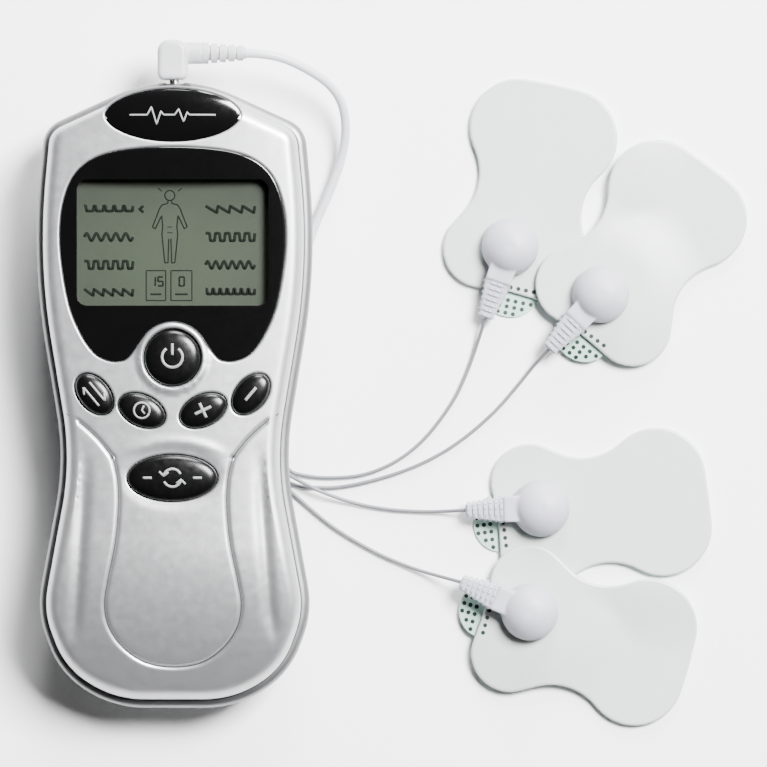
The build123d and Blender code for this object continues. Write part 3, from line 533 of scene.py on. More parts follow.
U_CURVE = through(U_SIDE + mirrored(U_SIDE)[1:], 24)
GROOVES = [Line(U_CURVE), Line(through(ARM, 24)), Line(through(mirrored(ARM), 24))]
ARC_LINE = Line(through(ARC, 24))
FLUTES = [Line(through(FLUTE, 24)), Line(through([(-x, y) for x, y in FLUTE], 24))]


def face_height(x, y):
    """The front shell's face: the crown with its grooves, the arc's step, the flutes and the power ring."""
    height = crown_height(x, y)
    for groove in GROOVES:
        gap = abs(groove.distance(x, y)[0])
        if gap < 1.5:
            height -= GROOVE_DEPTH * math.exp(-((gap / GROOVE_WIDTH) ** 2))
    gap, along = ARC_LINE.distance(x, y)
    ends = smooth_step(along, 0.02, 0.2) * smooth_step(1 - along, 0.02, 0.2)
    height += ARC_PROUD * ends * math.exp(-((gap / ARC_WIDTH) ** 2))
    for flute in FLUTES:
        gap, along = flute.distance(x, y)
        ends = smooth_step(along, 0.0, 0.3) * smooth_step(1 - along, 0.0, 0.25)
        height -= FLUTE_DEPTH * ends * math.exp(-((gap / FLUTE_WIDTH) ** 2))
    x0, y0, half_length, half_width, _ = BUTTONS["mode_button"]
    out = math.hypot((x - x0) / (half_length + DISH_REACH), (y - y0) / (half_width + DISH_REACH))
    height -= DISH_DEPTH * (1 - smooth_step(out, 0.72, 1.0))
    from_power = math.hypot(x - BUTTONS["power_button"][0], y - BUTTONS["power_button"][1])
    ring_middle = sum(RING_R) / 2
    height += RING_PROUD * math.exp(-(((from_power - ring_middle) / 0.55) ** 4))
    return height


def ellipse(name, grow=0.0, count=72):
    """A button's outline, clockwise, moved outwards."""
    x, y, half_length, half_width, turn = BUTTONS[name]
    ring = []
    for k in range(count):
        angle = -math.tau * k / count
        u = (half_length + grow) * math.cos(angle)
        v = (half_width + grow) * math.sin(angle)
        ring.append(Vector(placed(u, v, turn, (x, y))))
    return ring


def bezel_outline():
    """The black shield's outline, clockwise: both sides, the lobes and the notch."""
    notch = arc(BUTTONS["power_button"][:2], NOTCH_R, NOTCH_END, 90, 8)
    first = BEZEL_HALF[1]
    half = through([(-first[0], first[1]), *BEZEL_HALF, *notch[:2]], 8)[8:-9] + notch
    return half + [Vector((-p.x, p.y)) for p in reversed(half[1:-1])]


def badge_outline(count=96):
    """The badge's outline, clockwise: an ellipse whose ends are a little sharper."""
    half_length = BADGE_SIZE[0] / 2 + 0.25
    half_width = BADGE_SIZE[1] / 2 + 0.1
    ring = []
    for k in range(count):
        angle = -math.tau * k / count + math.pi / 2
        y = half_width * math.copysign(abs(math.sin(angle)) ** BADGE_FULLNESS, math.sin(angle))
        ring.append(Vector((half_length * math.cos(angle), BADGE_CENTRE_Y + y)))
    return ring


def grown(ring, amount):
    """A closed clockwise ring moved outwards."""
    count = len(ring)
    moved = []
    for k, point in enumerate(ring):
        way = (ring[(k + 1) % count] - ring[k - 1]).normalized()
        moved.append(point + left_of(way) * amount)
    return moved


def hole_walls(ring, points, faces, start):
    """Adds a hole's rounded edge and its wall below the ring of points that begins at start."""
    for share, down in HOLE_STEPS:
        below = len(points)
        points += raised(grown(ring, -HOLE_LIP - share * HOLE_EDGE), face_height, -down)
        faces += flipped(strip(start, below, len(ring)))
        start = below


def grid(step, half_x, half_y, middle=(0.0, 0.0)):
    """Points of a staggered grid."""
    spots = []
    columns, rows = int(half_x / step), int(half_y / step)
    for i in range(-columns, columns + 1):
        for j in range(-rows, rows + 1):
            spots.append(Vector((middle[0] + (i + 0.5 * (j % 2)) * step, middle[1] + j * step)))
    return spots


def fill_face(points, faces, edge_start, border, holes, inner, height, up=True):
    """Triangulates between a border ring, already in points at edge_start, and holes, through inner points.

    Returns where each hole's ring of vertices starts.
    """
    flat = [Vector((p.x, p.y)) for p in border]
    loops = [range(len(flat))]
    for hole in holes:
        loops.append(range(len(flat), len(flat) + len(hole)))
        flat += [Vector((p.x, p.y)) for p in hole]
    keep_off = kdtree.KDTree(len(flat))
    for index, p in enumerate(flat):
        keep_off.insert((p.x, p.y, 0), index)
    keep_off.balance()
    for p in inner:
        if keep_off.find((p.x, p.y, 0))[2] > 0.33 and inside(p, border):
            if not any(inside(p, hole) for hole in holes):
                flat.append(p)
    edges = [(loop[k], loop[(k + 1) % len(loop)]) for loop in loops for k in range(len(loop))]
    spots, _, triangles, sources, _, _ = geometry.delaunay_2d_cdt(flat, edges, [], 0, 1e-4)
    place = {}
    for index, origins in enumerate(sources):
        for origin in origins:
            place[origin] = index
    numbers = {place[k]: edge_start + k for k in loops[0]}
    starts = []
    for loop in loops[1:]:
        starts.append(len(points))
        for k in loop:
            numbers[place[k]] = len(points)
            points.append((flat[k].x, flat[k].y, height(flat[k].x, flat[k].y)))
    for triangle in triangles:
        a, b, c = (spots[k] for k in triangle)
        middle = (a + b + c) / 3
        if not inside(middle, border) or any(inside(middle, hole) for hole in holes):
            continue
        for k in triangle:
            if k not in numbers:
                numbers[k] = len(points)
                points.append((spots[k].x, spots[k].y, height(spots[k].x, spots[k].y)))
        ordered = tuple(triangle) if ((b - a).cross(c - a) > 0) == up else tuple(reversed(triangle))
        faces.append(tuple(numbers[k] for k in ordered))
    return starts


def front_skin():
    """The front shell's painted skin: wall, rolled edge and sculpted face, with its holes."""
    wall = inset_outline(RIM_INSET)
    rings = []
    for share in (0.0, 0.5, 0.85):
        ring = []
        for p in wall:
            wall_height = crown_height(p.x, p.y) - EDGE_ROUND - PARTING_Z
            ring.append((p.x, p.y, PARTING_Z + share * wall_height))
        rings.append(ring)
    for step in range(11):
        angle = math.radians(9.0 * step)
        edge = inset_outline(RIM_INSET + EDGE_ROUND * (1 - math.cos(angle)))
        rings.append(raised(edge, crown_height, -EDGE_ROUND * (1 - math.sin(angle))))
    points, faces = rings_mesh(rings)
    faces = flipped(faces)

    holes = [ellipse(name, CLEARANCE + HOLE_EDGE + HOLE_LIP) for name in BUTTONS]
    holes += [grown(outline, HOLE_GAP + HOLE_EDGE) for outline in (bezel_outline(), badge_outline())]
    inner = []
    for groove in GROOVES:
        for offset in GROOVE_ROWS:
            for here, after in list(zip(groove.points, groove.points[1:]))[::2]:
                inner.append(here + left_of((after - here).normalized()) * offset)
    for point in grid(SKIN_SPACING, 25.0, HALF_LENGTH):
        if min(abs(groove.distance(point.x, point.y)[0]) for groove in GROOVES) > GROOVE_CLEAR:
            inner.append(point)
    border = inset_outline(RIM_INSET + EDGE_ROUND)
    starts = fill_face(points, faces, len(points) - len(wall), border, holes, inner, face_height)
    for hole, start in zip(holes, starts):
        hole_walls(hole, points, faces, start)
    skin = new_piece("front_skin", points, faces, SILVER, "case", 50.0)
    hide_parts("front_shell")


def inside(point, ring):
    """Whether a point is inside a closed ring."""
    hit = False
    before = ring[-1]
    for here in ring:
        if (here[1] > point[1]) != (before[1] > point[1]):
            x = here[0] + (point[1] - here[1]) / (before[1] - here[1]) * (before[0] - here[0])
            hit ^= point[0] < x
        before = here
    return hit


# ---- drawn marks ----


def ribbon(path, width):
    """A flat ribbon along a path: its edge points in pairs and its quads."""
    pairs = []
    last = len(path) - 1
    for k, point in enumerate(path):
        side = left_of((path[min(k + 1, last)] - path[max(k - 1, 0)]).normalized()) * (width / 2)
        pairs += [point + side, point - side]
    return pairs, [(2 * k, 2 * k + 1, 2 * k + 3, 2 * k + 2) for k in range(last)]


def fine(path, step=0.3):
    """Divides a path's runs so that a ribbon along it can follow a curved surface."""
    out = []
    for start, end in zip(path, path[1:]):
        run = Vector(end) - Vector(start)
        steps = max(1, int(run.length / step))
        out += [Vector(start) + run * n / steps for n in range(steps)]
    out.append(Vector(path[-1]))
    return out


def arc(centre, radius, start, end, steps=24):
    turns = [start + (end - start) * k / steps for k in range(steps + 1)]
    return [Vector(placed(radius, 0.0, turn, centre)) for turn in turns]


def draw(name, strokes, height, material, body, place=(0.0, 0.0), turn=0.0, thickness=0.03):
    """Prints strokes, each a path and a width, as a thin layer on a surface given by its height."""
    points = []
    faces = []
    for path, width in strokes:
        pairs, quads = ribbon(fine(path), width)
        faces += flipped([[len(points) + k for k in quad] for quad in quads])
        for p in pairs:
            x, y = placed(p.x, p.y, turn, place)
            points.append((x, y, height(x, y) + thickness))
    layer = new_piece(name, points, faces, material, body)
    solid = layer.modifiers.new("thickness", "SOLIDIFY")
    solid.thickness = 1.5 * thickness * MM
    solid.offset = -1.0


def paint_seam_shade():
    """Painted shade in the joints: dark strips in the face's grooves, and between the two shells all round,
    where the gaps fall in shadow.
    """
    strokes = [(groove.points, 0.2) for groove in GROOVES]
    draw("groove_shade_strips", strokes, lambda x, y: face_height(x, y) - 0.02, SEAM_SHADE, "case")
    inner, outer = inset_outline(RIM_INSET + 0.1), inset_outline(RIM_INSET - 0.22)
    low, high = PARTING_Z - 0.1, PARTING_Z + 0.04
    rings = []
    for outline, z in ((inner, low), (outer, low), (outer, high), (inner, high), (inner, low)):
        rings.append([(p.x, p.y, z) for p in outline])
    points, faces = rings_mesh(rings)
    new_piece("shell_gap_shade", points, faces, SEAM_SHADE, "case")


# ---- buttons ----

BUTTON_EDGE = 1.0
BUTTON_DOME = 0.55


def button_height(name):
    """The height of a button's domed top, as a function of place."""
    x0, y0, half_length, half_width, turn = BUTTONS[name]
    base = crown_height(x0, y0) - 0.15

    def height(x, y):
        u, v = placed(x - x0, y - y0, -turn)
        out = min(1.0, math.hypot(u / half_length, v / half_width))
        return base + BUTTON_EDGE * (1 - out**9) ** 0.5 + BUTTON_DOME * (1 - out * out)

    return height


ICONS = {
    "power_button": [(arc((0, 0.1), 1.95, 125, 415), 0.5), ([(0, 0.5), (0, 2.7)], 0.5)],
    "channel_button": [
        ([(-2.3, 0.75), (2.1, 0.75)], 0.4), ([(1.1, 1.6), (2.3, 0.75)], 0.4),
        ([(2.3, -0.75), (-2.1, -0.75)], 0.4), ([(-1.1, -1.6), (-2.3, -0.75)], 0.4),
    ],
    "time_button": [(arc((0, 0), 1.5, 0, 360), 0.36), ([(0, 1.0), (0, 0), (0.8, -0.35)], 0.34)],
    "strong_button": [([(-1.7, 0), (1.7, 0)], 0.55), ([(0, 1.5), (0, -1.5)], 0.55)],
    "weak_button": [([(-1.6, 0), (1.6, 0)], 0.55)],
    "mode_button": [
        (arc((0, 0), 1.7, 25, 165), 0.45), (arc((0, 0), 1.7, 205, 345), 0.45),
        ([(-2.5, 1.2), (-1.65, 0.35), (-0.75, 1.1)], 0.4), ([(2.5, -1.2), (1.65, -0.35), (0.75, -1.1)], 0.4),
        ([(-5.6, 0), (-3.9, 0)], 0.45), ([(5.6, 0), (3.9, 0)], 0.45),
    ],
}


def dome(skirt, outline, centre, shares, height):
    """A dome over an outline: a skirt below it and rings that shrink towards its centre."""
    rings = [skirt]
    for share in shares:
        rings.append(raised([centre + (p - centre) * share for p in outline], height))
    points, faces = rings_mesh(rings, capped=True)
    return points, flipped(faces)


BUTTON_SHARES = (1.0, 0.995, 0.98, 0.955, 0.92, 0.87, 0.8, 0.7, 0.58, 0.44, 0.3, 0.16, 0.04)
BADGE_SHARES = (1.0, 0.985, 0.95, 0.9, 0.82, 0.7, 0.55, 0.4, 0.25, 0.1)


def button(name):
    height = button_height(name)
    x0, y0, _, _, turn = BUTTONS[name]
    outline = ellipse(name)
    skirt = raised(outline, lambda x, y: crown_height(x0, y0), -WALL)
    points, faces = dome(skirt, outline, Vector((x0, y0)), BUTTON_SHARES, height)
    cap = new_piece(name + "_cap", points, faces, BUTTON_BLACK, name)
    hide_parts(name)
    draw(name + "_icon", ICONS[name], height, GREY_PRINT, name, (x0, y0), turn)


# ---- display, badge ----

LCD_INK_LIFT = 0.008


def wave(left, right, y, cycles, height, shape):
    """A generic stimulation waveform between two x positions."""
    path = []
    steps = 12 * cycles
    for k in range(steps + 1):
        share = k / steps
        phase = (share * cycles) % 1.0
        if shape == "sine":
            level = math.sin(math.tau * phase)
        elif shape == "square":
            level = 1.0 if phase < 0.5 else -1.0
        elif shape == "saw":
            level = 1 - 2 * phase
        else:
            level = 1.0 if phase < 0.18 else -0.35
        path.append((left + (right - left) * share, y + height * level))
    return path


SEGMENTS = {
    "a": [(0, 1), (0.55, 1)], "b": [(0.55, 1), (0.55, 0.5)], "c": [(0.55, 0.5), (0.55, 0)],
    "d": [(0, 0), (0.55, 0)], "e": [(0, 0.5), (0, 0)], "f": [(0, 1), (0, 0.5)], "g": [(0, 0.5), (0.55, 0.5)],
}
DIGITS = {"0": "abcdef", "1": "bc", "5": "acdfg"}


def digits(text, x, y, size):
    strokes = []
    for place, digit in enumerate(text):
        for name in DIGITS[digit]:
            path = [(x + (u + 0.85 * place) * size, y + v * size) for u, v in SEGMENTS[name]]
            strokes.append((path, 0.32))
    return strokes


HALF_FIGURE = [
    (0.35, 37.0), (0.4, 36.5), (1.5, 36.2), (2.0, 35.4), (3.3, 32.0), (2.75, 31.7), (1.55, 34.2),
    (1.35, 32.2), (1.5, 30.6), (1.25, 28.0), (0.95, 25.2), (0.35, 25.2), (0.2, 29.8),
]


def figure():
    """A plain standing figure in outline, as on a bathroom sign."""
    x, head_y = -0.6, 38.0
    strokes = [(arc((x, head_y), 0.95, 0, 360), 0.24)]
    for side in (1, -1):
        strokes.append(([(x + side * u, v) for u, v in HALF_FIGURE], 0.25))
        strokes.append(([(x + side * 1.5, 38.8), (x + side * 2.3, 39.4)], 0.2))
    for y in (32.0, 30.9):
        strokes.append(([(x - 0.5, y), (x + 0.5, y)], 0.16))
    return strokes


BEZEL_PROUD = 0.2
BEZEL_EDGE = 0.3
WINDOW_OPENING = (36.4, 24.0)
WINDOW_CORNER = 2.0


def rounded_box(size, centre, corner, grow):
    """A rounded rectangle, clockwise, moved outwards."""
    ring = []
    for turn, (sx, sy) in enumerate(((1, 1), (1, -1), (-1, -1), (-1, 1))):
        middle = (centre[0] + sx * (size[0] / 2 - corner), centre[1] + sy * (size[1] / 2 - corner))
        ring += arc(middle, corner + grow, 90 - 90 * turn, -90 * turn, 8)
    return fine(ring + ring[:1], 1.0)[:-1]


def bezel():
    """The black shield: a thin crowned plate with a rounded edge and the window's opening."""
    outline = bezel_outline()

    def height(x, y):
        return crown_height(x, y) + BEZEL_PROUD

    rings = [raised(outline, height, -1.1)]
    for step in range(5):
        angle = math.radians(22.5 * step)
        edge = grown(outline, -BEZEL_EDGE * (1 - math.cos(angle)))
        rings.append(raised(edge, height, -BEZEL_EDGE * (1 - math.sin(angle))))
    inside_edge = grown(outline, -2 * BEZEL_EDGE)
    rings.append(raised(inside_edge, height))
    points, faces = rings_mesh(rings)
    faces = flipped(faces)
    opening = rounded_box(WINDOW_OPENING, DISPLAY_CENTRE, WINDOW_CORNER, 0.6)
    inner = grid(1.1, 22.0, 21.0, (0.0, 27.0))
    edge_start = len(points) - len(outline)
    above = fill_face(points, faces, edge_start, inside_edge, [opening], inner, height)[0]
    for grow, down in ((0.25, 0.0), (0.03, 0.02), (0.0, 0.08), (0.0, 1.25)):
        below = len(points)
        points += raised(rounded_box(WINDOW_OPENING, DISPLAY_CENTRE, WINDOW_CORNER, grow), height, -down)
        faces += flipped(strip(above, below, len(opening)))
        above = below
    shield = new_piece("display_shield", points, faces, GLOSS_BLACK, "case", 50.0)
    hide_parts("display_bezel")


def lcd_marks():
    """The display's marks: waveforms in place of words, the figure, and two boxes with digits."""
    strokes = figure()
    shapes = ("pulse", "sine", "square", "saw")
    for row, (y, shape) in enumerate(zip((35.3, 30.1, 24.8, 19.5), shapes)):
        strokes.append((wave(-16.9, -7.6, y, 5, 0.72, shape), 0.56))
        strokes.append((wave(6.2, 15.6, y, 4 + row, 0.72, shapes[3 - row]), 0.56))
    strokes.append(([(-5.6, 36.0), (-6.4, 35.4), (-5.6, 34.8)], 0.55))
    for left, right, text, digit_x in ((-5.1, -1.4, "15", -4.3), (-0.4, 3.6, "0", 1.2)):
        box = [(left, 18.0), (left, 23.7), (right, 23.7), (right, 18.0), (left, 18.0)]
        strokes.append((box, 0.22))
        strokes += digits(text, digit_x, 20.8, 1.7)
        strokes.append(([(left + 0.8, 19.2), (right - 0.8, 19.2)], 0.35))
    draw("lcd_marks", strokes, lambda x, y: LCD_TOP_Z, LCD_INK, "case", thickness=LCD_INK_LIFT)


BADGE_BEAT = [
    (-8.2, 0), (-4.8, 0), (-4.0, 1.5), (-3.0, -1.8), (-2.2, 0.7), (-1.7, 0),
    (0.4, 0), (1.2, 1.1), (2.1, -1.3), (2.8, 0.5), (3.2, 0), (8.2, 0),
]


def badge():
    """The domed black badge, with a plain pulse line in place of its lettering."""

    def height(x, y):
        out = min(1.0, math.hypot(x / (BADGE_SIZE[0] / 2 + 0.3), (y - BADGE_CENTRE_Y) / (BADGE_SIZE[1] / 2)))
        return crown_height(x, y) - 0.1 + 0.75 * (1 - out * out) ** 0.7

    outline = badge_outline()
    skirt = raised(outline, crown_height, -1.3)
    points, faces = dome(skirt, outline, Vector((0.0, BADGE_CENTRE_Y)), BADGE_SHARES, height)
    lens = new_piece("badge_lens", points, faces, GLOSS_BLACK, "case")
    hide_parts("badge_plate")
    draw("badge_wave", [(BADGE_BEAT, 0.3)], height, GREY_PRINT, "case", (0, BADGE_CENTRE_Y))


# ---- lead set ----


def cord(node, route, length, radius, material, slot, far_end, stiffness, with_pieces):
    """A cord along its route, as a curve in place of its CAD solid."""
    data = bpy.data.curves.new(node + "_curve", "CURVE")
    data.dimensions = "3D"
    data.bevel_depth = radius * MM
    data.bevel_resolution = 6
    data.resolution_u = 16
    data.use_fill_caps = True
    spline = data.splines.new("NURBS")
    spline.points.add(len(route) - 1)
    for point, place in zip(spline.points, route):
        point.co = (*(Vector(place) * MM), 1.0)
    spline.order_u = 3
    spline.use_endpoint_u = True
    data.materials.append(material)
    curve = linked(node + "_curve", data)
    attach(curve, "lead_set")
    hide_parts(node)
    tuple(Vector(route[0]) * MM)
    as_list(with_pieces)


def cords(connectors):
    """The main cord down to the splitter, and a wire from there to each connector's pieces."""
    main = MAIN_ROUTE, MAIN_LENGTH, CORD_R, CORD_WHITE, "cord_white"
    cord("main_cord", *main, "fitting", "medium", [NODES["cord_splitter"]])
    for number, (route, length, pieces) in enumerate(zip(WIRE_ROUTES, WIRE_LENGTHS, connectors), start=1):
        node = f"lead_wire_{number}"
        cord(node, route, length, WIRE_R, WIRE_GREY, "wire_grey", "connector", "limp", pieces)


def softened(name, node, material, body, slot, voxel, rounds):
    """A copy of a CAD node with its joins and edges melted together, as moulded soft plastic has them."""
    mesh = NODES[node].data.copy()
    mesh.name = name
    piece = linked(name, mesh)
    mesh.materials.clear()
    mesh.materials.append(material)
    remesh = piece.modifiers.new("remesh", "REMESH")
    remesh.mode = "VOXEL"
    remesh.voxel_size = voxel * MM
    smooth = piece.modifiers.new("smooth", "SMOOTH")
    smooth.factor = 0.5
    smooth.iterations = rounds
    bpy.context.view_layer.update()
    result = bpy.data.meshes.new_from_object(piece.evaluated_get(bpy.context.evaluated_depsgraph_get()))
    piece.modifiers.clear()
    piece.data = result
    result.polygons.foreach_set("use_smooth", [True] * len(result.polygons))
    if not result.materials:
        result.materials.append(material)
    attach(piece, body)
    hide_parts(node)
    return piece


FAN_RIBS = 7
RIB_SPANS = ((-0.5, -0.27), (-0.22, -0.02), (0.02, 0.22), (0.27, 0.5))  # each rib's blocks, across its width


def arched(share):
    """How high a rounded section stands at a share of its width, -0.5 to 0.5."""
    return (1 - abs(2 * share) ** 3.2) ** (1 / 3.2)


def fan_ribs(number, centre, turn, lift):
    """The slotted ribs round a connector's fan-shaped strain relief."""
    base_z = lift + LINER_THICKNESS + PAD_THICKNESS + SNAP_GAP
    points = []
    faces = []
    pitch = (FAN_END - NECK_LENGTH) / FAN_RIBS
    for rib in range(FAN_RIBS):
        share = (rib + 0.5) / FAN_RIBS
        width = FAN_ROOT_SIZE[0] + share * (FAN_TIP_SIZE[0] - FAN_ROOT_SIZE[0]) + 0.5
        height = FAN_ROOT_SIZE[1] + share * (FAN_TIP_SIZE[1] - FAN_ROOT_SIZE[1]) + 0.35
        for low, high in RIB_SPANS:
            section = [(low, 0.0), (high, 0.0)]
            section += [(high + (low - high) * k / 6, 1.0) for k in range(7)]
            rings = []
            for offset, size in ((0.12, 0.86), (0.22, 1.0), (0.66, 1.0), (0.76, 0.86)):
                distance = NECK_LENGTH + (rib + offset) * pitch
                ring = []
                for u, level in section:
                    z = base_z + 0.1 + level * (height * size * max(0.35, arched(u)) - 0.1)
                    ring.append((*placed(-distance, u * width * size, turn, centre), z))
                rings.append(ring)
            block_points, block_faces = rings_mesh(rings, capped=True)
            faces += [tuple(len(points) + k for k in face) for face in block_faces]
            points += block_points
    name = f"connector_{number}_ribs"
    return new_piece(name, points, faces, CONNECTOR_WHITE, "lead_set")


# ---- pads ----


def pad_curve():
    """A pad's outline in its own frame, anticlockwise."""
    corners = [(x, y) for x, y, _ in PAD_CORNERS]
    radii = [radius for _, _, radius in PAD_CORNERS]
    half = [point for point, _ in rounded([(PAD_ENDS[0], 0.0), *corners, (PAD_ENDS[1], 0.0)], radii)]
    return half + [Vector((p.x, -p.y)) for p in reversed(half[1:-1])]


PAD_CURVE = pad_curve()
STUD_REST = 7.0  # an upper pad keeps its height this far round its own stud
DRAPE_RUN = 15.0  # and falls to the floor over this run
PAD_EDGE = 0.45  # the rounding of a pad's edges
LINER_EDGE = 0.1
PAD_SPACING = 1.3
LINER_SPACING = 1.6
DOT_PITCH = (1.25, 1.5)
DOT_R = 0.42
DOT_SIDES = 14
DOT_OVERLAP = 0.9  # the first row's distance inside the pad's end
DOT_MARGIN = 0.5  # between the dots and the tab's edge


def pad_place(index, along, across):
    """A point of a pad's own frame in the model's frame."""
    centre, _, turn, _ = PADS[index]
    return Vector(placed(along, across, turn, centre))


def pad_ring(index, inset=0.0):
    """A pad's outline in the model's frame, anticlockwise, moved inwards."""
    ring = grown([Vector((p.x, p.y + PAD_SIDESTEP)) for p in reversed(PAD_CURVE)], -inset)
    return [pad_place(index, p.x, p.y) for p in ring]


def lift_of(index):
    """How high a pad's underside is carried at a place: an upper pad drapes over the one below."""
    below = PADS[index][3]
    if below is None:
        return lambda x, y: 0.0
    ring = pad_ring(below)
    support = Line(ring + ring[:1])
    own = PADS[index][0]

    def lift(x, y):
        off_edge = 0.0 if inside((x, y), ring) else abs(support.distance(x, y)[0])
        off_stud = max(0.0, math.hypot(x - own[0], y - own[1]) - STUD_REST)
        return OVERLAP_LIFT * (1 - smooth_step(min(off_edge, off_stud), 0.8, DRAPE_RUN))

    return lift


def sheet_mesh(ring, rings_in, spacing, floor, thickness, edge):
    """A thin sheet with rounded edges whose underside follows floor(x, y): points and faces."""
    insets = [(0.0, 0.5), (0.12 * edge, 0.8), (0.4 * edge, 0.95), (edge, 1.0)]
    profile = [(inset, 1 - share) for inset, share in reversed(insets)] + insets[1:]
    rings = [raised(rings_in(inset), floor, share * thickness) for inset, share in profile]
    points, faces = rings_mesh(rings)
    top_ring = len(points) - len(ring)
    border = rings_in(edge)
    low, high = (Vector((pick(p.x for p in border), pick(p.y for p in border))) for pick in (min, max))
    half = (high - low) / 2
    inner = grid(spacing, half.x, half.y, low + half)
    fill_face(points, faces, 0, border, [], inner, floor, up=False)
    fill_face(points, faces, top_ring, border, [], inner, lambda x, y: floor(x, y) + thickness)
    return points, faces


def flat_area(ring):
    """A closed ring's area in square metres."""
    doubled = sum(a.x * b.y - b.x * a.y for a, b in zip(ring, ring[1:] + ring[:1]))
    return abs(doubled) / 2 * MM * MM


def pad(index):
    """A gel pad, and its liner, which shows all round as a thin edge and at one end as the dotted tab."""
    number = index + 1
    body = f"pad_{number}"
    lift = lift_of(index)

    def gel_ring(inset):
        return pad_ring(index, inset)

    def gel_floor(x, y):
        return LINER_THICKNESS + lift(x, y)

    points, faces = sheet_mesh(gel_ring(0), gel_ring, PAD_SPACING, gel_floor, PAD_THICKNESS, PAD_EDGE)
    sheet = new_piece(f"pad_{number}_sheet", points, faces, PAD_WHITE, body, 60.0)
    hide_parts(f"electrode_pad_{number}")
    flat_area(gel_ring(0))

    half_turn = arc((0.0, 0.0), 1.0, 90, 270)
    tab = [Vector((PAD_ENDS[0] + u * TAB_SIZE[0], v * TAB_SIZE[1])) for u, v in half_turn]

    def liner_ring(inset):
        whole = [Vector((p.x, p.y)) for p in reversed(PAD_CURVE)]
        sides = [p for p in whole if not (p.x < PAD_ENDS[0] / 2 and abs(p.y) < TAB_SIZE[1] + 0.4)]
        after = next(k for k, p in enumerate(sides) if sides[k - 1].y * p.y < 0 and p.x < 0)
        loop = sides[after:] + sides[:after]
        joined = loop + (tab if loop[-1].y > 0 else tab[::-1])
        ring = grown([Vector((p.x, p.y + PAD_SIDESTEP)) for p in joined], -inset - 0.1)
        return [pad_place(index, p.x, p.y) for p in ring]

    points, faces = sheet_mesh(liner_ring(0), liner_ring, LINER_SPACING, lift, LINER_THICKNESS, LINER_EDGE)
    liner = new_piece(f"pad_{number}_liner", points, faces, LINER_MINT, body, 60.0)
    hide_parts(f"pad_liner_{number}")
    flat_area(liner_ring(0))
    tab_dots(index, lift, body)


def tab_dots(index, lift, body):
    """The printed dots of the liner's tab, and their first row on the pad's own edge."""
    edge = pad_ring(index, PAD_EDGE + DOT_R)
    rim = pad_ring(index, -DOT_R)
    points = []
    faces = []
    for column in range(6):
        for row in range(-3, 4):
            along = PAD_ENDS[0] + DOT_OVERLAP - column * DOT_PITCH[0]
            across = row * DOT_PITCH[1]
            out_x = (along - PAD_ENDS[0]) / (TAB_SIZE[0] - DOT_MARGIN)
            out_y = across / (TAB_SIZE[1] - DOT_MARGIN)
            if math.hypot(out_x, out_y) > 1:
                continue
            centre = pad_place(index, along, across + PAD_SIDESTEP)
            base = LINER_THICKNESS
            if inside(centre, edge):
                base += PAD_THICKNESS
            elif inside(centre, rim):
                continue
            rim_points = arc(centre, DOT_R, 0, 360, DOT_SIDES)[:-1]
            rings = [raised(rim_points, lift, base + proud) for proud in (-0.02, 0.02)]
            dot_points, dot_faces = rings_mesh(rings, capped=True)
            faces += [tuple(len(points) + k for k in face) for face in dot_faces]
            points += dot_points
    new_piece(f"pad_{index + 1}_dots", points, faces, LINER_DOT, body)


# ---- everything ----

add_camera()
CONNECTORS = []
for number, (centre, connector_turn, _, below) in enumerate(PADS, start=1):
    lift = 0.0 if below is None else OVERLAP_LIFT
    names = f"connector_{number}_head", f"snap_connector_{number}"
    head = softened(*names, CONNECTOR_WHITE, "lead_set", "connector_white", 0.22, 8)
    CONNECTORS.append([head, fan_ribs(number, centre, connector_turn, lift)])
cords(CONNECTORS)

add_world(0.03, 0.85, (0.8, 0.55, -0.6))
add_area("key", (520.0, 430.0, 900.0), 420.0, 74.0)
add_area("back", (140.0, 940.0, 420.0), 420.0, 22.0)

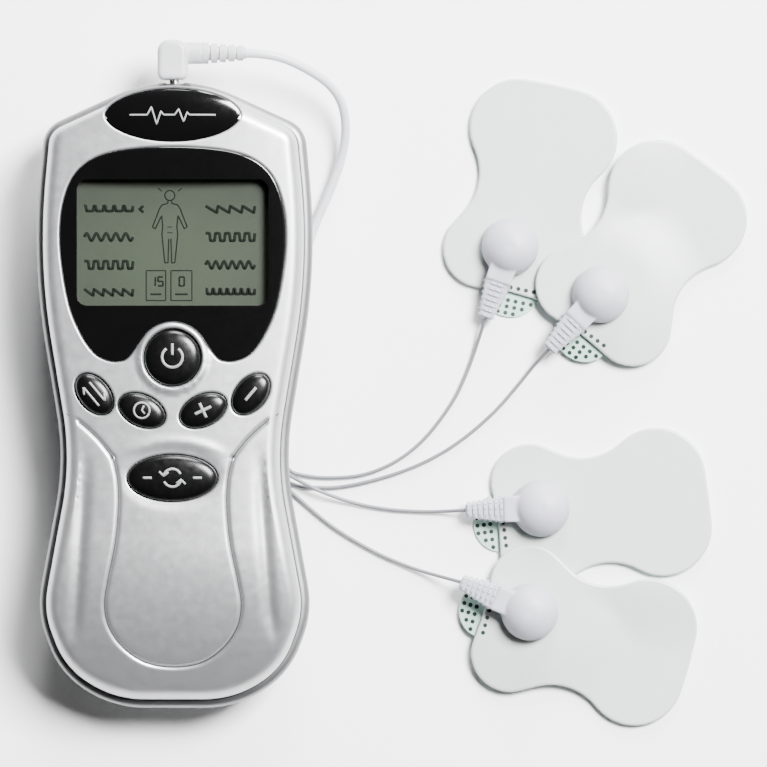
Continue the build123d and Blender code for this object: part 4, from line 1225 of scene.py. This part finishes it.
floor_mesh = bpy.data.meshes.new("floor")
floor_mesh.from_pydata([(-3, -3, 0), (3, -3, 0), (3, 3, 0), (-3, 3, 0)], [], [(0, 1, 2, 3)])
floor_mesh.materials.append(plastic("floor_white", (0.93, 0.93, 0.935), 0.7, 0.001, 0.004))
floor = linked("floor", floor_mesh)
floor.location.z = -0.0002  # just below the model's lowest face

NODE_MATERIALS = {
    "back_shell": SILVER_SHADED,
    "battery_door": SILVER_SHADED,
    "display_window": window_material(),
    "lcd_panel": lcd_material(),
    "lcd_frame": plastic("frame_white", (0.68, 0.68, 0.66), 0.5),
    "contact_strips": plastic("strip_rubber", (0.55, 0.38, 0.38), 0.6),
    "circuit_board": plastic("board_green", (0.02, 0.16, 0.06), 0.3, 0.02, 0.2),
    "snap_domes": STEEL,
    "controller_chip": plastic("chip_black", (0.02, 0.02, 0.022), 0.5),
    "output_transformer": plastic("winding_amber", (0.34, 0.20, 0.04), 0.45, 0.05, 0.15),
    "capacitors": metal("can_aluminium", (0.7, 0.71, 0.73), 0.28),
    "buzzer": plastic("buzzer_black", (0.02, 0.02, 0.022), 0.45),
    "lead_jack": plastic("jack_black", (0.025, 0.025, 0.028), 0.4),
    "case_screws": STEEL,
    "board_screws": STEEL,
    "battery_cell_1": plastic("cell_sleeve", (0.03, 0.035, 0.05), 0.25, 0.003, 0.1),
    "contact_plates": NICKEL,
    "contact_springs": NICKEL,
    "plug_pin": NICKEL,
    "snap_sockets": NICKEL,
    "cord_splitter": PLUG_WHITE,
    "plug_relief": PLUG_WHITE,
}
NODE_MATERIALS["battery_cell_2"] = NODE_MATERIALS["battery_cell_1"]
for number in range(1, 5):
    NODE_MATERIALS[f"pad_stud_{number}"] = NICKEL
for node, material in NODE_MATERIALS.items():
    for material_slot in NODES[node].material_slots:
        material_slot.material = material

front_skin()
for name in BUTTONS:
    button(name)
bezel()
lcd_marks()
badge()
paint_seam_shade()
softened("plug_shell", "plug_body", PLUG_WHITE, "lead_set", "plug_white", 0.2, 6)
for index in range(len(PADS)):
    pad(index)
